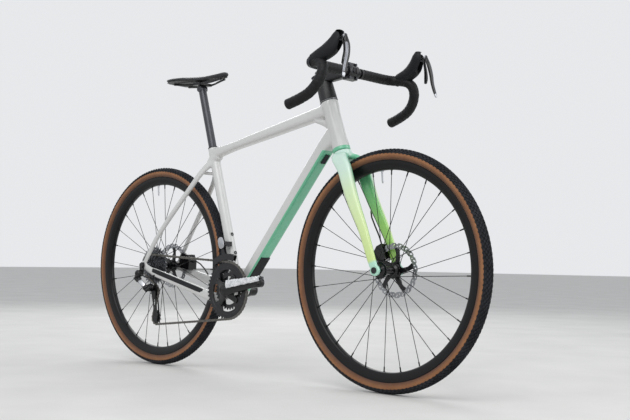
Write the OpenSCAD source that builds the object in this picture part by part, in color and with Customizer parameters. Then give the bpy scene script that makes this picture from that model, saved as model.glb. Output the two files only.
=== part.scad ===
// Gravel bicycle with drop handlebar, disc brakes and a two by eleven drivetrain.
// X runs forward, Y to the rider's left, Z up; the origin is on the ground midway between the axles.

/* [Wheels] */
// Bead seat diameter of the rims
rim_seat_d = 622; // [584:1:760]
// Width of the tyres
tyre_w = 40; // [34:1:46]
// Outer width of the rims
rim_w = 28; // [24:0.5:30]
// Depth of the rims from the flange to the spoke bed
rim_depth = 28; // [18:1:40]
// Number of spokes in each wheel
spoke_count = 28; // [20:4:36]
// Diameter of the spokes
spoke_d = 2; // [1.5:0.1:2.4]
// Diameter of the thru axles
axle_d = 12; // [10:1:15]
// Diameter of the brake rotors
rotor_d = 160; // [140:10:180]
// Thickness of the brake rotors
rotor_t = 1.8; // [1.5:0.1:2.2]
// Gap between the front dropouts
front_gap = 100; // [96:1:110]
// Gap between the rear dropouts
rear_gap = 142; // [138:1:150]

/* [Frame] */
// Drop of the bottom bracket below the axles
bb_drop = 76; // [60:1:92]
// Room between the rear tyre's radius and the chainstay length
stay_room = 69; // [60:1:90]
// Distance forward from the bottom bracket to the front axle
front_centre = 624; // [590:1:750]
// Head tube angle from the ground
head_angle = 70.5; // [69:0.5:73]
// Seat tube angle from the ground
seat_angle = 73.5; // [72:0.5:75]
// Length of the seat tube from the bottom bracket's centre
seat_tube_l = 500; // [460:1:600]
// Outer diameter of the seat tube
seat_tube_d = 34; // [32:0.5:38]
// Length of the head tube
head_tube_l = 164; // [130:1:200]
// Outer diameter of the head tube's ends
head_tube_d = 55; // [53:0.5:58]
// Width of the down tube
down_tube_w = 50; // [44:1:60]
// Depth of the down tube
down_tube_h = 37; // [32:1:44]
// Depth of the top tube at the head tube
top_tube_h = 38; // [30:1:44]
// Width of the bottom bracket shell
bb_shell_w = 68; // [68:1:73]
// Spacing of the bottle bosses
boss_gap = 64; // [50:1:80]

/* [Fork and cockpit] */
// Offset of the front axle ahead of the steering axis
fork_offset = 50; // [42:1:60]
// Gap between the tyre's radius and the crown's top face along the steering axis
crown_room = 41; // [36:1:60]
// Outer diameter of the steerer tube
steerer_d = 28.6; // [25.4:0.1:34.4]
// Height of the cover between head tube and stem
cover_h = 60; // [30:1:80]
// Length of the stem
stem_l = 109; // [80:1:140]
// Rise of the stem above level
stem_rise = 4; // [-10:1:20]
// Diameter of the handlebar at the stem
bar_clamp_d = 31.8; // [25.4:0.1:35]
// Half of the handlebar's width at the hoods
bar_half = 196; // [180:1:236]
// Reach of the handlebar
bar_reach = 78; // [65:1:94]
// Drop of the handlebar
bar_drop = 124; // [105:1:149]
// Outward flare at each end of the drops
bar_flare = 39; // [0:1:50]
// Diameter over the bar tape
tape_d = 31; // [29:0.5:34]

/* [Seat] */
// Diameter of the seatpost
post_d = 27.2; // [25.4:0.1:30.9]
// Distance from the bottom bracket to the saddle clamp along the seat tube
saddle_up = 720; // [650:1:866]
// Length of the seatpost inside the frame
post_in = 110; // [80:1:150]
// Length of the saddle
saddle_l = 272; // [240:1:326]
// Width of the saddle
saddle_w = 145; // [130:1:174]

/* [Drivetrain] */
// Length of the cranks
crank_l = 172.5; // [144:0.5:207]
// Teeth of the large chainring
ring_teeth = 46; // [44:1:50]
// Teeth of the small chainring
small_ring_teeth = 30; // [28:1:34]
// Distance of the large chainring from the middle of the frame
chain_line = 50; // [48:0.5:52]
// Angle of the right crank above the forward direction
crank_angle = 10; // [0:1:20]

/* [Hidden] */
// Round parts are drawn with this many facets
$fn = 48;

// Clearances: radial running fit, gap between parts that only sit by each other, gap of moving neighbours
run_gap = 0.05;
seat_gap = 0.2;
move_gap = 1;

// Wheel and axle places
tyre_r = rim_seat_d / 2 + tyre_w;
flange_h = 6;
rim_r = rim_seat_d / 2 + flange_h;
rim_in_r = rim_r - rim_depth;
axle_r = axle_d / 2;
stay_l = tyre_r + stay_room;
stay_x = sqrt(stay_l * stay_l - bb_drop * bb_drop);
wheelbase = stay_x + front_centre;
rear_c = [-wheelbase / 2, 0, tyre_r];
front_c = [wheelbase / 2, 0, tyre_r];
bb = [rear_c.x + stay_x, 0, tyre_r - bb_drop];
front_half = front_gap / 2;
rear_half = rear_gap / 2;
dropout_t = 8;
front_rotor_y = front_half - 12;
rear_rotor_y = rear_half - 16;

// Steering axis and seat tube axis
steer_dir = [-cos(head_angle), 0, sin(head_angle)];
steer_fwd = [sin(head_angle), 0, cos(head_angle)];
steer_foot = front_c - steer_fwd * fork_offset;
seat_dir = [-cos(seat_angle), 0, sin(seat_angle)];
seat_fwd = [sin(seat_angle), 0, cos(seat_angle)];
steerer_r = steerer_d / 2;
crown_t = tyre_r + crown_room;
head_t0 = crown_t + move_gap;
head_t1 = head_t0 + head_tube_l;
cover_t0 = head_t1 + move_gap;
stem_h = 42;
stem_t0 = cover_t0 + cover_h + seat_gap;
stem_t = stem_t0 + stem_h / 2;
head_r = head_tube_d / 2;
bearing_h = 8;
bearing_r = head_r - 3.5;
lower_steer_r = steerer_r + 5.7;
crown_down = 30;

// Cockpit places
stem_dir = [cos(stem_rise), 0, sin(stem_rise)];
bar_c = steer_at(stem_t) + stem_dir * stem_l;
bar_clamp_r = bar_clamp_d / 2;
bar_r = 12;
tape_r = tape_d / 2;
clamp_half = 22;
tape_start = 42;

function steer_at(t) = steer_foot + steer_dir * t;
function seat_at(s) = bb + seat_dir * s;
function unit(v) = v / norm(v);
function spow(v, e) = sign(v) * pow(abs(v), e);
function tangent(p, i) = unit(p[min(i + 1, len(p) - 1)] - p[max(i - 1, 0)]);
function pick(v, i) = is_list(v) ? v[i] : v;
function flip(p, side) = [for (q = p) [q.x, q.y * side, q.z]];

// One rounded ring of n points about c, half a wide along s and half b deep along u
function ring(c, s, u, a, b, e, n) =
    [for (k = [0 : n - 1]) c + s * a * spow(cos(360 * k / n), e) + u * b * spow(sin(360 * k / n), e)];
// Rings along a path, with the width held near the direction side
function rings(p, a, b, e, n, side) =
    [for (i = [0 : len(p) - 1])
        let (t = tangent(p, i), s = unit(side - t * (side * t)), u = cross(t, s))
        ring(p[i], s, u, pick(a, i), pick(b, i), pick(e, i), n)];

// Closed skin over a list of rings
module skin(r) {
    n = len(r[0]);
    m = len(r);
    sides = [for (i = [0 : m - 2], k = [0 : n - 1])
        let (a = i * n + k, b = i * n + (k + 1) % n)
        each [[a, a + n, b + n], [a, b + n, b]]];
    start = [for (k = [1 : n - 2]) [0, k, k + 1]];
    end = [for (k = [1 : n - 2]) [(m - 1) * n, (m - 1) * n + k + 1, (m - 1) * n + k]];
    polyhedron([for (q = r) each q], concat(start, sides, end));
}

// Sleeve between an outer and an inner list of rings
module sleeve(outer, inner) {
    n = len(outer[0]);
    m = len(outer);
    o = m * n;
    faces = concat(
        [for (i = [0 : m - 2], k = [0 : n - 1])
            let (a = i * n + k, b = i * n + (k + 1) % n)
            each [[a, a + n, b + n], [a, b + n, b],
                [o + a, o + b + n, o + a + n], [o + a, o + b, o + b + n]]],
        [for (k = [0 : n - 1]) let (k2 = (k + 1) % n, e = (m - 1) * n)
            each [[k, k2, o + k2], [k, o + k2, o + k],
                [e + k, o + e + k2, e + k2], [e + k, o + e + k, o + e + k2]]]);
    polyhedron([for (q = outer) each q, for (q = inner) each q], faces);
}

module loft(p, a, b, e = 1, n = 16, side = [0, 1, 0]) {
    skin(rings(p, a, b, e, n, side));
}

// Cylinder along Y between two places
module across(y0, y1, r, r2 = undef) {
    translate([0, y0, 0]) rotate([-90, 0, 0]) cylinder(h = y1 - y0, r1 = r, r2 = is_undef(r2) ? r : r2);
}

// Rings of a round tube, with the first direction carried along the path
function carry(p, s, i = 0) = i >= len(p) ? []
    : let (t = tangent(p, i), q = unit(s - t * (s * t))) concat([q], carry(p, q, i + 1));
function tube_rings(p, r, n, s) = let (v = carry(p, s))
    [for (i = [0 : len(p) - 1]) ring(p[i], v[i], cross(tangent(p, i), v[i]), pick(r, i), pick(r, i), 1, n)];

module tube(p, r, n = 10, s = [0, 1, 0.1]) {
    skin(tube_rings(p, r, n, s));
}

// Round rod between two points
module rod(a, b, r) {
    d = b - a;
    translate(a) rotate([0, acos(d.z / norm(d)), atan2(d.y, d.x)]) cylinder(h = norm(d), r = r);
}

// Children in a frame whose Z runs along the steering axis, X forward
module on_steer(t) {
    translate(steer_at(t)) rotate([0, head_angle - 90, 0]) children();
}

// Children in a frame whose Z runs along the seat tube, X forward
module on_seat(s) {
    translate(seat_at(s)) rotate([0, seat_angle - 90, 0]) children();
}

// Solid of revolution about the Y axis; profile points are radius, place along Y
module turned(profile) {
    rotate([-90, 0, 0]) rotate_extrude() polygon(profile);
}

// Frame

dt_start = bb + [7, 0, -6];
dt_end = steer_at(crown_t + 73);
dt_dir = unit(dt_end - dt_start);
dt_up = [-dt_dir.z, 0, dt_dir.x];
dt_len = norm(dt_end - dt_start);
function dt_at(k) = dt_start + (dt_end - dt_start) * k;
tt_back = seat_at(seat_tube_l - 22);
tt_front = steer_at(head_t1 - 24);
boss_s = 124;
boss_k = 0.34;
insert_r = 4.2;
thread_r = 2.5;
stay_end_y = rear_half + dropout_t / 2 + 0.5;
shell_r = 20;
spindle_r = 12;
cup_w = 10;
bond_gap = 0.05;

module head_tube() {
    waist = head_r - 2.5;
    on_steer(head_t0) rotate_extrude() polygon([[0, 0], [head_r, 0], [head_r, 12], [waist, 40],
        [waist, head_tube_l - 40], [head_r, head_tube_l - 12], [head_r, head_tube_l], [0, head_tube_l]]);
}

module down_tube(more = 0) {
    drop = dt_up * 9;
    p = [dt_at(0), dt_at(0.5), dt_at(0.86), dt_at(0.93) - drop * 0.3, dt_at(1) - drop];
    h = down_tube_h / 2;
    w = down_tube_w / 2;
    loft(p, [for (d = [0, 0, 0, -1, -4]) w + d + more], [for (d = [0, 0, 1, 5, 13]) h + d + more],
        [0.5, 0.45, 0.45, 0.5, 0.6], 20);
}

module top_tube() {
    h = top_tube_h / 2;
    mid = (tt_back + tt_front) / 2;
    loft([tt_back, tt_back * 0.8 + tt_front * 0.2, mid, tt_front], [15, 18, 20, 21],
        [h - 4, h - 6, h - 3, h], 0.6, 20);
}

cs_path = [bb + [-14, 20, -4], bb + [-52, 30, 0], bb + [-92, 38, 6], bb + [-150, 50, 18],
    rear_c + [90, stay_end_y - 4, -26], rear_c + [42, stay_end_y, -15], rear_c + [12, stay_end_y, -4]];
// How much lower the right chainstay runs than the left one
cs_low = [5, 24, 28, 22, 5, 2, 0];
ss_top = seat_at(seat_tube_l - 44);
ss_path = [ss_top + [4, 6, 0], ss_top + [-26, 24, -30], ss_top + [-62, 44, -82],
    rear_c + [86, stay_end_y - 6, 120], rear_c + [30, stay_end_y, 42], rear_c + [8, stay_end_y, 10]];

function cs_at(i, side) = let (p = cs_path[i]) [p.x, p.y * side, side < 0 ? p.z - cs_low[i] : p.z];

module chainstay(side, more = 0) {
    loft([for (i = [0 : 6]) cs_at(i, side)], [for (w = [9, 7, 7, 7.5, 7, 5, 3.5]) w + more],
        [for (h = [15, 15.5, 16, 16, 14.5, 12, 11]) h + more], 0.6, 12);
}

module seatstay(side) {
    loft(flip(ss_path, side), [8, 8, 7.5, 7, 5, 3.5], [14, 11, 9, 8.5, 9, 8], 0.8, 12);
}

module dropout(side) {
    y0 = side > 0 ? rear_half : -rear_half - dropout_t;
    translate(rear_c) across(y0, y0 + dropout_t, 15);
}

// Boss axes: place on the tube's surface and outward direction
boss_places = [
    [seat_at(boss_s) + seat_fwd * seat_tube_d / 2, seat_fwd],
    [seat_at(boss_s + boss_gap) + seat_fwd * seat_tube_d / 2, seat_fwd],
    [dt_at(boss_k) + dt_up * down_tube_h / 2, dt_up],
    [dt_at(boss_k + boss_gap / dt_len) + dt_up * down_tube_h / 2, dt_up]];

module at_bosses() {
    for (p = boss_places) translate(p[0]) rotate([0, atan2(p[1].x, p[1].z), 0]) children();
}

// Bond line across a tube, at the part k of the way from a to b
module bond(a, b, k) {
    half = 40;
    d = b - a;
    translate(a + d * k) rotate([0, acos(d.z / norm(d)), atan2(d.y, d.x)])
        translate([-half, -half, 0]) cube([2 * half, 2 * half, bond_gap]);
}

module frame() {
    color("gainsboro") difference() {
        union() {
            head_tube();
            on_seat(0) cylinder(h = seat_tube_l, r = seat_tube_d / 2);
            translate(bb) across(-bb_shell_w / 2, bb_shell_w / 2, shell_r);
            down_tube();
            top_tube();
            for (side = [-1, 1]) {
                chainstay(side);
                seatstay(side);
                dropout(side);
            }
            translate(ss_path[1] + [-7, 0, -12]) across(-ss_path[1].y, ss_path[1].y, 6);
        }
        on_steer(head_t0 - 1) cylinder(h = head_tube_l + 2, r = lower_steer_r + 1);
        on_steer(head_t0 - 1) cylinder(h = bearing_h + 1, r = bearing_r);
        on_steer(head_t1 - bearing_h) cylinder(h = bearing_h + 1, r = bearing_r);
        on_seat(40) cylinder(h = seat_tube_l, r = post_d / 2 + run_gap);
        translate(bb) across(-bb_shell_w / 2 - 1, bb_shell_w / 2 + 1, shell_r - 3);
        translate(rear_c) across(-rear_half - dropout_t - 1, rear_half + dropout_t + 1, axle_r + run_gap);
        at_bosses() translate([0, 0, -9]) cylinder(h = 12, r = insert_r + 0.02);
        translate(rear_c) across(-rear_half, rear_half, 44);
        for (k = [0.12, 0.88]) bond(dt_start, dt_end, k);
        for (k = [0.1, 0.9]) bond(tt_back, tt_front, k);
    }
}

module bottle_bosses() {
    color("dimgray") at_bosses() difference() {
        union() {
            translate([0, 0, -9]) cylinder(h = 9.1, r = insert_r);
            translate([0, 0, 0.1]) cylinder(h = 1.4, r = 6);
        }
        translate([0, 0, -10]) cylinder(h = 13, r = thread_r);
    }
}

// Bottom bracket cups and headset bearings
module frame_bearings() {
    color("dimgray") {
        for (side = [0, 180]) translate(bb) rotate([0, 0, side]) difference() {
            union() {
                across(bb_shell_w / 2, bb_shell_w / 2 + cup_w, shell_r + 1);
                across(bb_shell_w / 2 - 12, bb_shell_w / 2, shell_r - 3.03);
            }
            across(0, bb_shell_w, spindle_r + run_gap);
        }
        on_steer(head_t0) difference() {
            cylinder(h = bearing_h, r = bearing_r - 0.03);
            translate([0, 0, -1]) cylinder(h = bearing_h + 2, r = lower_steer_r + run_gap);
        }
        on_steer(head_t1 - bearing_h) difference() {
            cylinder(h = bearing_h, r = bearing_r - 0.03);
            translate([0, 0, -1]) cylinder(h = bearing_h + 2, r = steerer_r + run_gap);
        }
    }
}

// Guard under the down tube, cable port cover and chainstay guard
module frame_guards() {
    h = down_tube_h / 2;
    guard = [cs_at(2, -1) * 0.5 + cs_at(3, -1) * 0.5 + [0, -7, 6], cs_at(3, -1) + [0, -7.5, 6],
        cs_at(4, -1) + [0, -7, 6], cs_at(4, -1) * 0.3 + cs_at(5, -1) * 0.7 + [0, -5.6, 4.5]];
    color("black") difference() {
        union() {
            for (g = [[0.1, 0.25, down_tube_w / 2 - 6, 2.2], [0.83, 0.88, 9, 5]]) {
                q = [for (k = [g[0], g[1]], y = [-g[2], g[2]], d = [-2, g[3]])
                    dt_at(k) - dt_up * (h + d) + [0, y, 0]];
                polyhedron(q, [[0, 1, 3, 2], [4, 6, 7, 5], [0, 4, 5, 1], [2, 3, 7, 6], [1, 5, 7, 3],
                    [0, 2, 6, 4]]);
            }
            loft(guard, 1.8, [8, 8.5, 8, 7], 0.4, 8);
        }
        down_tube(seat_gap);
        chainstay(-1, seat_gap);
    }
}

// Internal wedge clamp: the ring that shows on top of the seat tube, with its bolt
module seat_clamp() {
    color("black") on_seat(seat_tube_l) difference() {
        union() {
            translate([0, 0, seat_gap]) cylinder(h = 2.6, r = seat_tube_d / 2 - 0.6);
            translate([seat_tube_d / 2 - 5, 0, seat_gap]) cylinder(h = 3.6, r = 3.5);
        }
        translate([0, 0, -1]) cylinder(h = 8, r = post_d / 2 + run_gap);
    }
}

// Plates and bars drawn in the XZ plane

// Extrude a drawing of X and Z from the place y0 towards -Y
module side_plate(y0, t) {
    translate([0, y0, 0]) rotate([90, 0, 0]) linear_extrude(t) children();
}

// Bar with round ends between two points of a drawing, its sides a hair inside the common tangents
module bar2d(a, b, ra, rb) {
    d = unit(b - a);
    c = (ra - rb) / norm(b - a);
    v = [-d.y, d.x] * sqrt(1 - c * c);
    n = (d * c + v) * 0.999;
    m = (d * c - v) * 0.999;
    translate(a) circle(ra);
    translate(b) circle(rb);
    polygon([a + n * ra, a + m * ra, b + m * rb, b + n * rb]);
}

function xz(p) = [p.x, p.z];
function polar(r, a) = [r * cos(a), r * sin(a)];

// Children in a frame with the given origin, Z direction and rough X direction
module in_frame(o, z, x) {
    c = unit(z);
    b = unit(cross(c, x));
    a = cross(b, c);
    multmatrix([[a.x, b.x, c.x, o.x], [a.y, b.y, c.y, o.y], [a.z, b.z, c.z, o.z], [0, 0, 0, 1]]) children();
}

// Rear derailleur: hanger, fixed knuckle, link, moving knuckle, cage and pulleys

hanger_t = 5;
hanger_y = -rear_half - dropout_t;
hanger_c = rear_c + [-4, 0, -29];
mount_y = hanger_y - hanger_t - seat_gap;
mount_w = 17;
link_a = rear_c + [-6, mount_y - 8, -50];
link_v = [34, 6, -27];
link_l = norm(link_v);
link_axis = unit(cross(link_v, [-0.72, 1, -0.6]));
link_h = 8;
ear_h = 11;
pin_r = 2;
cage_y = -chain_line;
cage_pivot = rear_c + [27, 0, -78];
jockey_a = rear_c + [34, 0, -91];
jockey_b = rear_c + [48, 0, -183];
jockey_teeth = 11;
plate_in = 5.1;
plate_t = 1.5;
pulley_bolt_r = 2.5;
pivot_r = 4;

module derailleur_hanger() {
    color("black") difference() {
        translate([rear_c.x, 0, rear_c.z]) side_plate(hanger_y, hanger_t)
            bar2d([0, 0], xz(hanger_c - rear_c), 11, 9.5);
        translate(rear_c) across(-rear_gap, 0, axle_r + run_gap);
        translate(hanger_c) across(-rear_gap, 0, 5);
    }
}

// Ears and pin of a link joint: the web stands at x = -11 * way from the pin
module ears(way) {
    for (z = [-ear_h, link_h + 0.3]) translate([0, 0, z]) linear_extrude(ear_h - link_h - 0.3)
        bar2d([-11 * way, 0], [0, 0], 5, 5);
    translate([-11 * way - 4, -5, -ear_h]) cube([8, 10, 2 * ear_h]);
    translate([0, 0, -ear_h]) cylinder(h = 2 * ear_h, r = pin_r);
}

module derailleur_mount() {
    web = link_a - unit(link_v) * 11;
    color("black") {
        translate(hanger_c) across(mount_y - mount_w, mount_y, 10);
        translate(hanger_c) across(mount_y - 1, -rear_half - dropout_t + 0.2, 4.95);
        in_frame(link_a, link_axis, link_v) ears(1);
        rod(hanger_c + [0, mount_y - 7, 0], web, 6);
    }
}

module derailleur_link() {
    color("silver") in_frame(link_a, link_axis, link_v) difference() {
        union() {
            for (x = [0, link_l]) translate([x, 0, -link_h]) cylinder(h = 2 * link_h, r = 4.5);
            translate([3, -2.6, -link_h]) cube([link_l - 6, 5.2, 2 * link_h]);
        }
        for (x = [0, link_l])
            translate([x, 0, -link_h - 1]) cylinder(h = 2 * link_h + 2, r = pin_r + run_gap);
    }
}

module derailleur_knuckle() {
    web = link_a + link_v + unit(link_v) * 11;
    outer = cage_y - plate_in - plate_t - 0.8;
    color("black") difference() {
        union() {
            in_frame(link_a + link_v, link_axis, link_v) ears(-1);
            translate(cage_pivot) across(outer - 16, outer, 11);
            rod(web, cage_pivot + [2, outer - 9, -1], 5);
        }
        translate(cage_pivot) across(outer - 13, outer + 1, pivot_r + run_gap);
    }
}

module derailleur_cage() {
    color("dimgray") {
        for (y = [cage_y - plate_in, cage_y + plate_in + plate_t]) side_plate(y, plate_t) {
            bar2d(xz(cage_pivot), xz(jockey_a), 11, 9);
            bar2d(xz(jockey_a), xz(jockey_b), 9, 9);
        }
        for (c = [jockey_a, jockey_b])
            translate([c.x, 0, c.z]) across(cage_y - plate_in - 0.5, cage_y + plate_in + 0.5, pulley_bolt_r);
        translate(cage_pivot) across(cage_y - plate_in - plate_t - 12, cage_y - plate_in - 0.5, pivot_r);
    }
}

// Chain drive: toothed wheels whose valleys meet the rollers of the chain

pitch = 12.7;
roller_r = 3.85;
chain_in = 1.25;
chain_out = 2.5;
cog_t = 1.6;
cog_pitch = 3.74;
cog_teeth = [11, 13, 15, 17, 19, 21, 23, 25, 27, 30, 34];
cog_used = 4;
freehub_r = 16.5;
function pitch_r(n) = pitch / (2 * sin(180 / n));

// Outline of a toothed wheel with a valley at the angle phase
function teeth(n, phase) = [for (k = [0 : n - 1])
    let (a = phase + (k + 0.5) * 360 / n, root = pitch_r(n) - roller_r - 0.4, tip = pitch_r(n) + 3.2,
        wb = asin(2.8 / root), wt = asin(0.9 / tip))
    each [polar(root, a - wb), polar(tip, a - wt), polar(tip, a + wt), polar(root, a + wb)]];

// Wheels in the order that the chain runs over them: centre, teeth, turning sense
wheels = [[xz(bb), ring_teeth, 1], [xz(rear_c), cog_teeth[cog_used], 1],
    [xz(jockey_a), jockey_teeth, -1], [xz(jockey_b), jockey_teeth, 1]];
function wheel(i) = wheels[i % 4];
// Direction and length of the run from wheel i to the next
function run_dir(i) = let (a = wheel(i), b = wheel(i + 1), d = b[0] - a[0])
    atan2(d.y, d.x) + asin((a[2] * pitch_r(a[1]) - b[2] * pitch_r(b[1])) / norm(d));
function run_len(i) = let (d = wheel(i + 1)[0] - wheel(i)[0]) norm(d) * cos(run_dir(i) - atan2(d.y, d.x));
function run_start(i) = wheel(i)[0] + polar(pitch_r(wheel(i)[1]), run_dir(i) - 90 * wheel(i)[2]);
function wrap_in(i) = run_dir(i + 3) - 90 * wheel(i)[2];
function positive(a) = a - 360 * floor(a / 360);
function wrap_links(i) = positive(wheel(i)[2] * (run_dir(i) - run_dir(i + 3))) / (360 / wheel(i)[1]);
// Links before each stretch: run 0, wrap 1, run 1, wrap 2, run 2, wrap 3, run 3, wrap 0
u1 = run_len(0) / pitch;
u2 = u1 + wrap_links(1);
u3 = u2 + run_len(1) / pitch;
u4 = u3 + wrap_links(2);
u5 = u4 + run_len(2) / pitch;
u6 = u5 + wrap_links(3);
links = 2 * round((u6 + run_len(3) / pitch + wrap_links(0)) / 2);
u7 = links - wrap_links(0);
slack_pitch = run_len(3) / (u7 - u6);
function on_run(i, u, step) = run_start(i) + polar(u * step, run_dir(i));
function on_wrap(i, u) = wheel(i)[0]
    + polar(pitch_r(wheel(i)[1]), wrap_in(i) + wheel(i)[2] * u * 360 / wheel(i)[1]);
function chain_at(u) = u < u1 ? on_run(0, u, pitch) : u < u2 ? on_wrap(1, u - u1)
    : u < u3 ? on_run(1, u - u2, pitch) : u < u4 ? on_wrap(2, u - u3)
    : u < u5 ? on_run(2, u - u4, pitch) : u < u6 ? on_wrap(3, u - u5)
    : u < u7 ? on_run(3, u - u6, slack_pitch) : on_wrap(0, u - u7);
// Angle of a valley on the wheels 1 to 3, and on the large ring
function valley(i, u) = wrap_in(i) + wheel(i)[2] * (ceil(u) - u) * 360 / wheel(i)[1];
ring_phase = run_dir(0) - 90;
cog_phase = valley(1, u1);
jockey_a_phase = valley(2, u3);
jockey_b_phase = valley(3, u5);
chain_pts = [for (k = [0 : links - 1]) chain_at(k)];
function chain_normal(k) = let (d = chain_pts[(k + 1) % links] - chain_pts[(k + links - 1) % links])
    [-d.y, d.x] / norm(d);

module chain() {
    h = 4.2;
    color("silver") {
        for (y = [cage_y + chain_out, cage_y - chain_in]) side_plate(y, chain_out - chain_in) difference() {
            polygon([for (k = [0 : links - 1]) chain_pts[k] - chain_normal(k) * h]);
            polygon([for (k = [0 : links - 1]) chain_pts[k] + chain_normal(k) * h]);
        }
        for (q = chain_pts) translate([q.x, 0, q.y])
            across(cage_y - chain_in - 0.1, cage_y + chain_in + 0.1, roller_r);
    }
}

function cog_y(i) = -chain_line + (i - cog_used) * cog_pitch;

module cassette() {
    last = len(cog_teeth) - 1;
    color("dimgray") translate([rear_c.x, 0, rear_c.z]) {
        difference() {
            union() {
                for (i = [0 : last]) side_plate(cog_y(i) + cog_t / 2, cog_t)
                    polygon(teeth(cog_teeth[i], i == cog_used ? cog_phase : cog_phase + 7 * i));
                across(cog_y(0) - cog_t / 2 - 1.2, cog_y(last) + cog_t / 2, 18);
            }
            across(-rear_gap, 0, freehub_r + run_gap);
            for (i = [cog_used + 1 : last], k = [0 : 7]) let (r = (pitch_r(cog_teeth[i]) + 11) / 2)
                rotate([0, 45 * k + 9 * i, 0]) translate([r, 0, 0])
                across(cog_y(i) - cog_t, cog_y(i) + cog_t, min(r - 18, pitch_r(cog_teeth[i]) - r - 5) * 0.8);
        }
        difference() {
            across(seat_gap - rear_half, -22, freehub_r);
            across(-rear_gap, 0, axle_r + run_gap);
        }
    }
}

module jockey(c, phase) {
    color("dimgray") translate([c.x, 0, c.z]) difference() {
        union() {
            side_plate(cage_y + 1, 2) polygon(teeth(jockey_teeth, phase));
            across(cage_y - 4.6, cage_y + 4.6, 8);
        }
        across(cage_y - 6, cage_y + 6, pulley_bolt_r + run_gap);
    }
}

module jockey_upper() {
    jockey(jockey_a, jockey_a_phase);
}

module jockey_lower() {
    jockey(jockey_b, jockey_b_phase);
}

// Cranks

arm_dir = [cos(crank_angle), 0, sin(crank_angle)];
ring_t = 2;
spider_y = -chain_line - ring_t / 2;
spider_t = 3.4;
arm_in = 59;
arm_t = 11;
arm_out = 71;
eye_y = 68;
eye_h = 7;
pedal_r = 7.1;
small_ring_y = -chain_line + 7;
outer_bolt = 55;
inner_bolt = 40;
ring_bolt_r = 4;

// Crank arm from the axis to the pedal eye on the side -Y, with a narrower rib along its outer face
module arm() {
    eye = polar(crank_l, crank_angle);
    side_plate(-arm_in, arm_t) bar2d([0, 0], eye, 17, 11.5);
    side_plate(-arm_in - arm_t + 1, 3) bar2d([0, 0], eye, 12, 7.5);
    translate(arm_dir * crank_l) across(-eye_y - eye_h, -eye_y + eye_h, 15);
}

module crank_right() {
    color("black") translate(bb) difference() {
        union() {
            arm();
            across(-arm_out, spider_y - 0.1, 19);
            side_plate(spider_y - 0.1, spider_t) for (k = [0 : 3]) let (a = crank_angle + 45 + 90 * k)
                bar2d([0, 0], polar(outer_bolt, a), 17, 9);
            across(-66, 66, spindle_r);
        }
        translate(arm_dir * crank_l) across(-100, 0, pedal_r);
        for (k = [0 : 3], r = [outer_bolt, inner_bolt]) let (q = polar(r, crank_angle + 45 + 90 * k))
            translate([q.x, 0, q.y]) across(-80, -chain_line, ring_bolt_r + run_gap);
    }
}

module crank_left() {
    color("black") translate(bb) difference() {
        rotate([0, 180, 0]) mirror([0, 1, 0]) {
            arm();
            across(-arm_out, -bb_shell_w / 2 - cup_w - 2, 19);
        }
        translate(-arm_dir * crank_l) across(0, 100, pedal_r);
        across(0, 66 + run_gap, spindle_r + run_gap / 2);
    }
}

module chainrings() {
    color("dimgray") translate([bb.x, 0, bb.z]) {
        difference() {
            side_plate(-chain_line + ring_t / 2, ring_t) difference() {
                polygon(teeth(ring_teeth, ring_phase));
                circle(46);
            }
            for (k = [0 : 3]) let (q = polar(outer_bolt, crank_angle + 45 + 90 * k))
                translate([q.x, 0, q.y]) across(-80, 0, ring_bolt_r + run_gap);
        }
        difference() {
            side_plate(small_ring_y + ring_t / 2, ring_t) difference() {
                polygon(teeth(small_ring_teeth, 0));
                circle(31);
            }
            for (k = [0 : 3]) let (q = polar(inner_bolt, crank_angle + 45 + 90 * k))
                translate([q.x, 0, q.y]) across(-80, 0, ring_bolt_r + run_gap);
        }
        for (k = [0 : 3]) let (q = polar(outer_bolt, crank_angle + 45 + 90 * k)) translate([q.x, 0, q.y]) {
            across(spider_y - spider_t + 0.4, -chain_line + ring_t / 2 + 0.3, ring_bolt_r);
            across(-chain_line + ring_t / 2 + 0.1, -chain_line + ring_t / 2 + 1.5, 6);
        }
        for (k = [0 : 3]) let (q = polar(inner_bolt, crank_angle + 45 + 90 * k)) translate([q.x, 0, q.y]) {
            across(spider_y - spider_t + 0.4, small_ring_y + ring_t / 2 + 0.3, ring_bolt_r);
            across(spider_y, small_ring_y - ring_t / 2 - 0.05, 5.8);
        }
    }
}

// Front derailleur

fd_pivot = bb + [-38, -41, 152];
fd_in_r = pitch_r(ring_teeth) + 6.5;
fd_out_r = fd_in_r + 20;

module sector(a0, a1, r0, r1) {
    polygon([for (a = [a0 : (a1 - a0) / 10 : a1 + 0.01]) polar(r1, a),
        for (a = [a1 : (a0 - a1) / 10 : a0 - 0.01]) polar(r0, a)]);
}

module front_derailleur() {
    color("silver") difference() {
        union() {
            translate(fd_pivot + [-18, 0, -8]) cube([36, 26, 16]);
            for (x = [-18, 12.3]) translate(fd_pivot + [x, 0, 0]) rotate([0, 90, 0]) cylinder(h = 5.7, r = 6);
            translate(fd_pivot + [-18, 0, 0]) rotate([0, 90, 0]) cylinder(h = 36, r = pin_r);
        }
        translate(fd_pivot + [-12, -7, -9]) cube([24, 14, 18]);
        on_seat(0) cylinder(h = seat_tube_l, r = seat_tube_d / 2 + 0.05);
    }
    color("silver") translate(fd_pivot + [-14, 0, 0]) rotate([0, 90, 0]) cylinder(h = 28, r = pin_r);
}

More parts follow.
